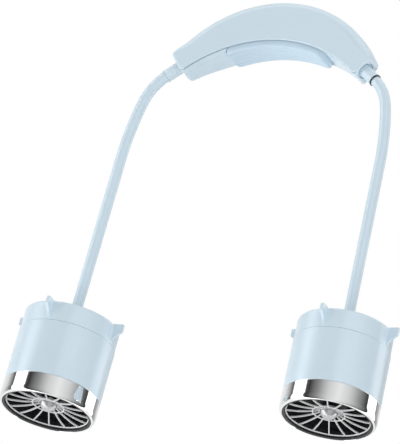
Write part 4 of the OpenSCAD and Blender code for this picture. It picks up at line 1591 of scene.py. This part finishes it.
    def grille(self) -> None:
        """The white grille: rim, ribs that dish in to the hub, a ring across them and its beads."""
        shape = Shape()
        rim_in, rim_out, collar = self.rim_r - self.rim_t, self.rim_r, self.rim_r - self.rim_collar_t
        face, flange_low, flange_top = self.recess + self.rim_face_h, 0.004, 0.0052
        shape.turned(
            [
                (rim_in, self.recess, FULL), (rim_out, self.recess, FULL), (rim_out, flange_low, 0),
                (self.spigot_r, flange_low, FINE / 2), (self.spigot_r, flange_top, FINE / 2),
                (collar, flange_top, FINE / 2), (collar, face, 0), (rim_in, face, FINE),
            ],
            128,
        )
        half, steps = self.rib_t / 2, 14
        radii = [self.hub_r + (rim_in - self.hub_r) * k / steps for k in range(steps + 1)]
        lower = [(self.hub_r - self.hub_wall / 2, self.dish_at(self.hub_r))]
        lower += [(r, self.dish_at(r)) for r in radii] + [(rim_in + half, self.dish_at(rim_in))]
        upper = [(r, z + self.rib_h - (self.rib_rise if r > rim_in else 0)) for r, z in lower]
        rib = shape.prism(lower + upper[::-1], -half, half, SOFT)
        shape.place(TO_FRONT, rib)
        shape.repeat(rib, self.ribs)
        near, far = self.inner_ring_r - half, self.inner_ring_r + half
        ring_h = 0.0008
        low = self.dish_at(self.inner_ring_r)
        high = low + ring_h
        shape.turned([(*corner, SOFT) for corner in rectangle(near, far, low, high)])
        for i in range(self.ribs):
            turn = math.tau * i / self.ribs
            centre = Vector((math.cos(turn), math.sin(turn), 0)) * self.inner_ring_r
            shape.ball(self.bead_r, centre + Vector((0, 0, low + ring_h / 2)), self.bead_flat)
        foot = self.dish_at(self.hub_r)
        low, seat, top = foot - FINE / 2, foot + self.hub_seat, foot + self.hub_h
        bore, blunt = self.hub_r - self.hub_wall, 0.00015
        corners = [(bore, low, blunt), (self.hub_r, low, FINE), (self.hub_r, top, FULL)]
        shape.turned(corners + [(0, top, 0), (0, seat, 0), (bore, seat, 0)])
        self.piece(shape, "outlet_grille", WHITE, "white", angle=40.0)

    def badge(self) -> None:
        """The domed metal badge in the grille's hub."""
        shape = Shape()
        radius = self.hub_r - self.hub_wall - 2 * self.gap
        low = self.dish_at(self.hub_r)
        ball = (radius * radius + self.dome_h**2) / (2 * self.dome_h)
        reach = math.degrees(math.asin(radius / ball))
        dome = arc((0, low - self.dome_h + ball), ball, 180, 180 - reach, 20)
        top = low + self.hub_seat - self.gap
        shape.lathe([(max(0.0, x), z) for x, z in dome] + [(radius, top), (0, top)], 64, closed=False)
        self.piece(shape, "hub_badge", BRUSHED, "steel")

    def barrel(self) -> None:
        """The barrel's outer wall."""
        seam_r, seam = self.cap_r + self.seam_step, self.seam_h - self.seam_open
        duct_r, bowl_r = self.duct_r + self.liner_t, self.bowl_r + self.liner_t
        shoulder = self.chrome_h + self.gap
        shape = Shape()
        shape.turned(
            [
                (duct_r, self.spigot_low, FINE), (self.spigot_r, self.spigot_low, FINE),
                (self.spigot_r, shoulder, 0), (self.radius, shoulder, self.barrel_round),
                (seam_r, seam, self.seam_round), (bowl_r, seam, FINE),
                (bowl_r, self.bowl_low, self.bowl_round), (duct_r, self.duct_top, self.bowl_round),
            ],
            160,
        )
        self.piece(shape, "barrel", SHELL, "shell_blue")

    def duct(self) -> None:
        """The barrel's dark inside: the duct's face, and the vanes behind it that carry the motor's cup, in a
        dark liner that paints the shade deep in the duct.
        """
        shape = Shape()
        wall = self.liner_t + FINE
        low, top = self.spigot_low + FINE, self.seam_h - SOFT
        shape.turned(
            [
                (self.duct_r, low, FINE), (self.duct_r + wall, low, 0),
                (self.duct_r + wall, self.duct_top, 0), (self.bowl_r + wall, self.bowl_low, 0),
                (self.bowl_r + wall, top, 0), (self.bowl_r, top, FINE),
                (self.bowl_r, self.bowl_low, self.bowl_round),
                (self.duct_r, self.duct_top, self.bowl_round),
            ],
            128,
        )
        low, top = self.recess + self.rim_face_h + self.gap, self.spigot_low - self.gap
        near, far = self.rim_r - self.rim_t, self.rim_r - self.rim_collar_t - self.gap
        shape.turned([(near, low, 0), (far, low, 0), (far, top, 0), (near, top, SOFT)], 128)
        hole, out, bore = self.cup_hole, self.cup_r, self.cup_bore
        floor, seat, top = self.vane_low - self.cup_floor, self.vane_low - self.gap, self.cup_top
        corners = [(hole, floor, SOFT), (out, floor, self.cup_round), (out, top, FULL)]
        shape.turned(corners + [(bore, top, SOFT), (bore, seat, 0), (hole, seat, 0)])
        near, far, half = bore + self.lap, self.bowl_r + self.lap / 2, self.vane_t / 2
        vane = shape.prism(rectangle(near, far, -half, half), self.vane_low, self.vane_top, FULL)
        shape.repeat(vane, self.vanes)
        low, top, radius = self.vane_top - self.lap, self.height - self.post_down, self.post_r
        corners = [(self.post_bore, low, 0), (radius, low, 0), (radius, top, SOFT)]
        post = shape.turned(corners + [(self.post_mouth, top, FINE / 2)], 32)
        shape.place(self.post_matrix(), post)
        shape.repeat(post, self.posts)
        # The dark liner paints the shade inside the duct, behind the grille and the impeller
        self.piece(shape, "duct", DARK, "black", nodes=["barrel"])

    def post_matrix(self) -> Matrix:
        """From the axis to the first post."""
        turn = Matrix.Rotation(math.radians(self.post_turn), 4, "Z")
        return turn @ Matrix.Translation((self.post_at, 0, 0))

    def fin_outline(self) -> list[Point]:
        """A fin's outline: an upright edge, a slanting underside and a foot that runs down the cap.

        Returns:
            Distance from the axis and height of each point.
        """
        top, root = self.height - FINE / 2, self.cap_r - self.fin_root
        edge, foot, low = (self.height - down for down in self.fin_downs)
        above, below, inside = self.fin_rounds
        corners = [(root, top, 0), (self.fin_r, top, above), (self.fin_r, edge, below)]
        corners += [(self.cap_r + self.fin_foot, foot, inside), (self.cap_r, low, FINE), (root, low, 0)]
        return rounded(corners)

    def cap(self) -> None:
        """The cap: air slots in its top, screw bosses under it and fins round it."""
        top, skirt, seam = self.height, self.seam_h - self.skirt_h, self.seam_h + self.gap
        outer = self.bowl_r - 2 * self.gap
        inner, under = outer - self.cap_wall, top - self.cap_top
        boss_r, bore, boss_low = self.boss_r, self.cap_bore, top - self.boss_h
        shape = Shape()
        shape.turned(
            [
                (bore, top, SOFT), (self.cap_r, top, self.cap_round), (self.cap_r, seam, SOFT),
                (outer, seam, 0), (outer, skirt, SOFT), (inner, skirt, SOFT), (inner, under, FULL),
                (boss_r, under, 2 * SOFT), (boss_r, boss_low, SOFT), (bore, boss_low, FINE),
            ],
            160,
            6,
        )
        body = shape.to_object("cap body")

        half, soft, deep, over = self.fin_t / 2, 0.0009, 0.0035, top + self.lap
        ends = [(*end, soft) for end in rectangle(2 * boss_r, inner - half, -half, half)]
        cutter = Shape()
        slot = cutter.prism(rounded(ends), top - deep, over)
        cutter.place(Matrix.Rotation(math.pi / self.slots, 4, "Z"), slot)
        cutter.repeat(slot, self.slots)
        slots = cutter.to_object("slot cutter")
        head_r, head_low, low = self.head_r, top - self.head_h, top - self.screw_h
        cutter = Shape()
        hole = cutter.lathe(rectangle(0, head_r, over, low), 32, closed=False)
        cutter.place(self.post_matrix(), hole)
        cutter.repeat(hole, self.posts)
        carve(body, slots, cutter.to_object("screw cutter"))

        whole = Shape()
        whole.bm.from_mesh(body.data)
        bpy.data.meshes.remove(body.data)
        screw_r, seat_r, seat = 0.0011, 0.0033, top - self.cap_top / 2
        step = [(screw_r, low), (seat_r, low), (seat_r, seat), (head_r, seat), (head_r, head_low)]
        boss = whole.lathe(step + [(screw_r, head_low)], 32)
        whole.place(self.post_matrix(), boss)
        whole.repeat(boss, self.posts)
        fin = whole.prism(self.fin_outline(), -half, half, 0.0005)
        whole.place(TO_FRONT, fin)
        whole.repeat(fin, self.fins)
        self.piece(whole, "cap", SHELL, "shell_blue", angle=30.0)

    def ferrule(self) -> None:
        """The steel ferrule that the leg ends in."""
        rise, seat_down, down, flange_h = 0.0012, 0.005, 0.008, 0.0011
        top, seat, low = self.height + rise, self.height - seat_down, self.height - down
        flange_low, radius, flange_r = low - flange_h, 0.0045, 0.0054
        sleeve_bore, core_bore = 0.0036, 0.0024
        corners = [(sleeve_bore, top, FINE), (radius, top, FULL), (radius, low, 0), (flange_r, low, FINE)]
        corners += [(flange_r, flange_low, FINE), (core_bore, flange_low, FINE / 2)]
        shape = Shape()
        shape.turned(corners + [(core_bore, seat, 0), (sleeve_bore, seat, 0)])
        self.piece(shape, "ferrule", SHELL, "steel")

    def impeller(self) -> None:
        """The impeller: a hub with a round nose, and blades that are curved plates."""
        shape = Shape()
        nose, shell, boss, centre = 0.0025, 0.0016, 0.003, 0.0001
        low, top, hub_r = self.fan_low, self.fan_top, self.fan_hub_r
        floor, end = low + nose, low + 0.001
        shape.turned(
            [
                (self.shaft_hole, end, 0), (centre, end, 0), (centre, low, 0), (hub_r, low, nose),
                (hub_r, top, SOFT), (hub_r - shell, top, SOFT), (hub_r - shell, floor, 2 * SOFT),
                (boss, floor, FULL), (boss, top, SOFT), (self.shaft_hole, top, FINE / 2),
            ],
            96,
            8,
        )
        blade = self.blade(shape, hub_r - shell * 0.75)
        shape.repeat(blade, self.blades)
        self.piece(shape, "impeller", DARK, "black", "impeller", angle=40.0)

    def blade(self, shape: Shape, root: float) -> list:
        """Adds a blade: a plate bent about an axis that points outwards, thinner at both edges.

        Args:
            shape: The impeller's mesh.
            root: How far from the axis it starts, inside the hub.

        Returns:
            Its vertices.
        """
        low, top = math.radians(self.blade_low_angle), math.radians(self.blade_top_angle)
        bend_r = self.blade_h / (math.sin(top) - math.sin(low))
        aside = bend_r * (math.cos(low) + math.cos(top)) / 2
        lift = self.blade_low - bend_r * math.sin(low)
        steps, rounds, thin = 10, 14, 0.12
        section = []
        for sign in (-1, 1):
            edge = []
            for k in range(steps + 1):
                slant = low + (top - low) * k / steps
                bulge = math.sin(math.pi * (thin + (1 - 2 * thin) * k / steps))
                out = bend_r + sign * self.blade_t / 2 * bulge
                edge.append((aside - out * math.cos(slant), lift + out * math.sin(slant)))
            section += edge if sign > 0 else edge[::-1]
        kept = set(shape.bm.verts)
        ring = [shape.bm.verts.new((root, y, z)) for y, z in section]
        first = [shape.bm.edges.new((ring[i - 1], ring[i])) for i in range(len(ring))]
        edges = list(first)
        for _ in range(rounds):
            ring, edges = shape.pull(edges)
            bmesh.ops.translate(shape.bm, verts=ring, vec=((self.fan_r - root) / rounds, 0, 0))
        for v in ring:
            v.co.x = math.sqrt(self.fan_r**2 - v.co.y**2)
        bmesh.ops.holes_fill(shape.bm, edges=first + edges)
        return [v for v in shape.bm.verts if v not in kept]

    def build(self) -> None:
        """Builds the head's pieces."""
        self.chrome()
        self.lip()
        self.grille()
        self.badge()
        self.barrel()
        self.duct()
        self.cap()
        self.ferrule()
        self.impeller()


@dataclass
class Internals:
    """The solids that stay as they are and only get a finish."""

    finishes: dict[str, Finish] = field(
        default_factory=lambda: {
            "cell": WRAP,
            "control_board": BOARD,
            "usb_socket": STEEL,
            "button_switch": DARK,
            "status_light": GUIDE,
            "screws": STEEL,
            "motor_lead": LEAD,
            "shaft": STEEL,
            "motor": STEEL,
        }
    )

    def finish_of(self, name: str) -> Finish:
        """The finish of a node.

        Args:
            name: The node's name.

        Returns:
            The finish of the first key that the name holds.
        """
        return next(finish for key, finish in self.finishes.items() if key in name)

    def build(self) -> None:
        """Gives every shown solid its finish."""
        for name, node in frame["nodes"].items():
            if node.hide_render:
                continue
            finish = self.finish_of(name)
            for slot in node.material_slots:
                slot.material = finish.material()
            LOG.info("%s keeps its solid, in %s", name, finish.name)


@dataclass
class Studio:
    """The camera, the lights, the floor and what polished metal reflects."""

    azimuth: float = 30.0
    elevation: float = -23.0
    roll: float = 14.06
    millimetres_per_pixel: float = 0.626
    image_size: tuple[int, int] = (400, 444)
    arch_pixel: Point = (267.6, 104.3)
    arch_point: tuple[float, float, float] = (0.0, -0.00065, -0.036)
    aim: Corner = (0.0, 0.0, -0.12)
    lens: float = 1400.0
    sensor: float = 36.0
    floor_z: float = -0.28
    floor_size: float = 60.0
    floor_glow: float = 0.7
    screen_r: float = 8.0
    screen_h: float = 200.0
    screen_low: float = -12.0
    screen_back: float = 100.0
    screen_fade: float = 0.3
    strip_light: float = 2.9
    pale: Colour = (0.86, 0.865, 0.87)
    lamps: tuple[tuple[str, Corner, float, float], ...] = (
        ("above", (0.0, -0.2, 1.4), 1.0, 9.0),
        ("front right", (1.0, -0.9, 0.5), 1.0, 7.4),
        ("low right", (0.9, -0.7, -1.0), 1.0, 6.0),
        ("low left", (-1.3, -0.3, -0.7), 1.0, 12.5),
        ("front left", (-0.9, -1.2, 0.3), 1.0, 3.2),
        ("behind", (-0.3, 1.4, 0.5), 1.2, 8.0),
    )

    def camera(self) -> None:
        """Aims a long lens from the photograph's side, below the fan, with its roll."""
        a, e = math.radians(self.azimuth), math.radians(self.elevation)
        back = Vector((math.sin(a) * math.cos(e), -math.cos(a) * math.cos(e), math.sin(e)))
        level = Vector((math.cos(a), math.sin(a), 0))
        upright = back.cross(level)
        r = math.radians(self.roll)
        right = level * math.cos(r) + upright * math.sin(r)
        up = back.cross(right)
        pixel = self.millimetres_per_pixel / 1000
        width, height = self.image_size
        centre = Vector(self.arch_point)
        centre += right * (width / 2 - self.arch_pixel[0]) * pixel
        centre -= up * (height / 2 - self.arch_pixel[1]) * pixel
        data = bpy.data.cameras.new("camera")
        data.lens, data.sensor_width = self.lens, self.sensor
        away = height * pixel * self.lens / self.sensor
        data.clip_start, data.clip_end = 0.1, 10 * away
        camera = in_scene("camera", data)
        turned = Matrix((right, up, back)).transposed().to_4x4()
        camera.matrix_world = Matrix.Translation(centre + back * away) @ turned
        bpy.context.scene.camera = camera

    def lamp(self, name: str, place: Corner, size: float, watts: float) -> None:
        """Adds a soft square lamp.

        Args:
            name: Its name.
            place: Where it stands.
            size: The length of its side.
            watts: Its power.
        """
        data = bpy.data.lights.new(name, "AREA")
        data.shape = "RECTANGLE"
        data.size = data.size_y = size
        data.energy = watts
        lamp = in_scene(name, data)
        lamp.location = place
        lamp.rotation_mode = "QUATERNION"
        lamp.rotation_quaternion = (Vector(self.aim) - Vector(place)).to_track_quat("-Z", "Y")
        lamp.visible_camera = False
        lamp.visible_glossy = False

    def hang(self, name: str, bm: BMesh, finish: str) -> tuple[bpy.types.Object, Nodes]:
        """Puts a mesh of the studio in the scene, shadowless and with a material that is no lamp.

        Args:
            name: The object's name.
            bm: Its mesh.
            finish: The material's name.

        Returns:
            The object and the material's nodes, still empty.
        """
        mesh = bpy.data.meshes.new(name)
        bm.to_mesh(mesh)
        bm.free()
        made = in_scene(name, mesh)
        made.visible_shadow = False
        material = bpy.data.materials.new(finish)
        material.use_nodes = True
        material.cycles.emission_sampling = "NONE"
        mesh.materials.append(material)
        return made, Nodes(material.node_tree)

    def floor(self) -> None:
        """A pale floor, lit a little for the camera alone, that a camera below it sees through."""
        bm = bmesh.new()
        bmesh.ops.create_grid(bm, x_segments=1, y_segments=1, size=self.floor_size)
        bmesh.ops.translate(bm, verts=bm.verts, vec=(0, 0, self.floor_z))
        floor, nodes = self.hang("floor", bm, "Pale floor")
        path = nodes.add("LightPath").outputs
        plain = nodes.add("BsdfDiffuse", {"Color": rgba(self.pale)})
        glow = nodes.add("Emission", {"Color": rgba(self.pale), "Strength": 1.0})
        clear = nodes.add("BsdfTransparent")
        white = nodes.add("Emission", {"Color": rgba((1, 1, 1)), "Strength": 1.0})
        back = nodes.add("NewGeometry").outputs["Backfacing"]
        share = nodes.maths("MULTIPLY", path["Is Camera Ray"], self.floor_glow)
        mixed = plain
        through, glossy = path["Is Transmission Ray"], path["Is Glossy Ray"]
        for factor, layer in ((share, glow), (back, clear), (through, white), (glossy, clear)):
            mixed = nodes.add("MixShader", {0: factor, 1: mixed.outputs[0], 2: layer.outputs[0]})
        nodes.add("OutputMaterial", {"Surface": mixed.outputs[0]})

    def tent(self) -> None:
        """A tall round screen that only reflections see: white strips between grey fields.

        Low on the side away from the camera it is white, as a pale floor would look.
        """
        bm = bmesh.new()
        radius = self.screen_r
        sizes = {"radius1": radius, "radius2": radius, "depth": self.screen_h}
        bmesh.ops.create_cone(bm, cap_ends=False, segments=128, **sizes)
        tent, nodes = self.hang("tent", bm, "Studio screen")
        tent.visible_camera = False
        tent.visible_diffuse = False
        tent.visible_transmission = False
        x, y, z = nodes.add("SeparateXYZ", {0: nodes.add("TexCoord").outputs["Object"]}).outputs
        turn = nodes.maths("ARCTAN2", x, nodes.maths("MULTIPLY", y, -1.0))
        middle = math.radians(self.azimuth)
        looped = nodes.maths("FRACT", nodes.fit(turn, middle - math.pi, middle + math.pi, 0.0, 1.0))
        ramp = nodes.add("ValToRGB", {0: looped})
        self.fill_ramp(ramp.color_ramp)
        edge = math.tan(math.radians(self.screen_low)) * radius
        low = nodes.fit(z, edge, edge - self.screen_fade, 0.0, 1.0)
        off = nodes.maths("ABSOLUTE", nodes.maths("SUBTRACT", looped, 0.5))
        turned = self.screen_back / 360
        patch = nodes.maths("MULTIPLY", low, nodes.fit(off, turned, turned + 0.01, 0.0, 1.0))
        white = nodes.mix(patch, ramp.outputs[0], rgba((1, 1, 1)))
        glow = nodes.add("Emission", {"Color": white, "Strength": 1.0})
        nodes.add("OutputMaterial", {"Surface": glow.outputs[0]})

    def fill_ramp(self, ramp: bpy.types.ColorRamp) -> None:
        """Writes the screen's strips.

        Args:
            ramp: The ramp, from one side of the camera round to the other.
        """
        stops = [
            (-180, 0.8), (-156, 0.95), (-130, 0.75), (-108, 0.12), (-105, 0.1), (-101, self.strip_light),
            (-72, self.strip_light), (-68, 0.1), (-60, 0.04), (-36, 0.3), (-12, 0.7), (12, 0.9), (36, 0.7),
            (60, 0.35), (84, 0.08), (90, 0.05), (94, self.strip_light), (122, self.strip_light), (128, 0.3),
            (156, 0.65), (180, 0.8),
        ]
        ramp.interpolation = "LINEAR"
        ramp.elements.remove(ramp.elements[-1])
        for number, (angle, level) in enumerate(stops):
            share = (angle + 180) / 360
            stop = ramp.elements.new(share) if number else ramp.elements[0]
            stop.position, stop.color = share, rgba((level,) * 3)

    def world(self) -> None:
        """White where the camera, a mirror or clear glass looks, and a plain soft light elsewhere."""
        world = bpy.data.worlds.new("studio")
        bpy.context.scene.world = world
        world.use_nodes = True
        nodes = Nodes(world.node_tree)
        path = nodes.add("LightPath").outputs
        mirrored = nodes.maths("MAXIMUM", path["Is Glossy Ray"], path["Is Transmission Ray"])
        seen = nodes.maths("MAXIMUM", path["Is Camera Ray"], mirrored)
        soft = nodes.add("Background", {"Color": rgba((0.98, 0.99, 1.0)), "Strength": 0.2})
        white = nodes.add("Background", {"Color": rgba((1, 1, 1)), "Strength": 1.0})
        whole = nodes.add("MixShader", {0: seen, 1: soft.outputs[0], 2: white.outputs[0]})
        nodes.add("OutputWorld", {"Surface": whole.outputs[0]})

    def build(self) -> None:
        """Sets the whole studio."""
        self.camera()
        self.floor()
        self.tent()
        self.world()
        for lamp in self.lamps:
            self.lamp(*lamp)
        bpy.context.scene.view_settings.view_transform = "Standard"


def main() -> None:
    """Builds the studio and every sub-assembly in order."""
    logging.basicConfig(level=logging.INFO, format="%(name)s: %(message)s")
    Studio().build()
    housing = Housing()
    housing.build()
    for side in Side:
        Leg(side, housing).build()
        FanHead(side).build()
    Internals().build()


if __name__ == "__main__":
    main()
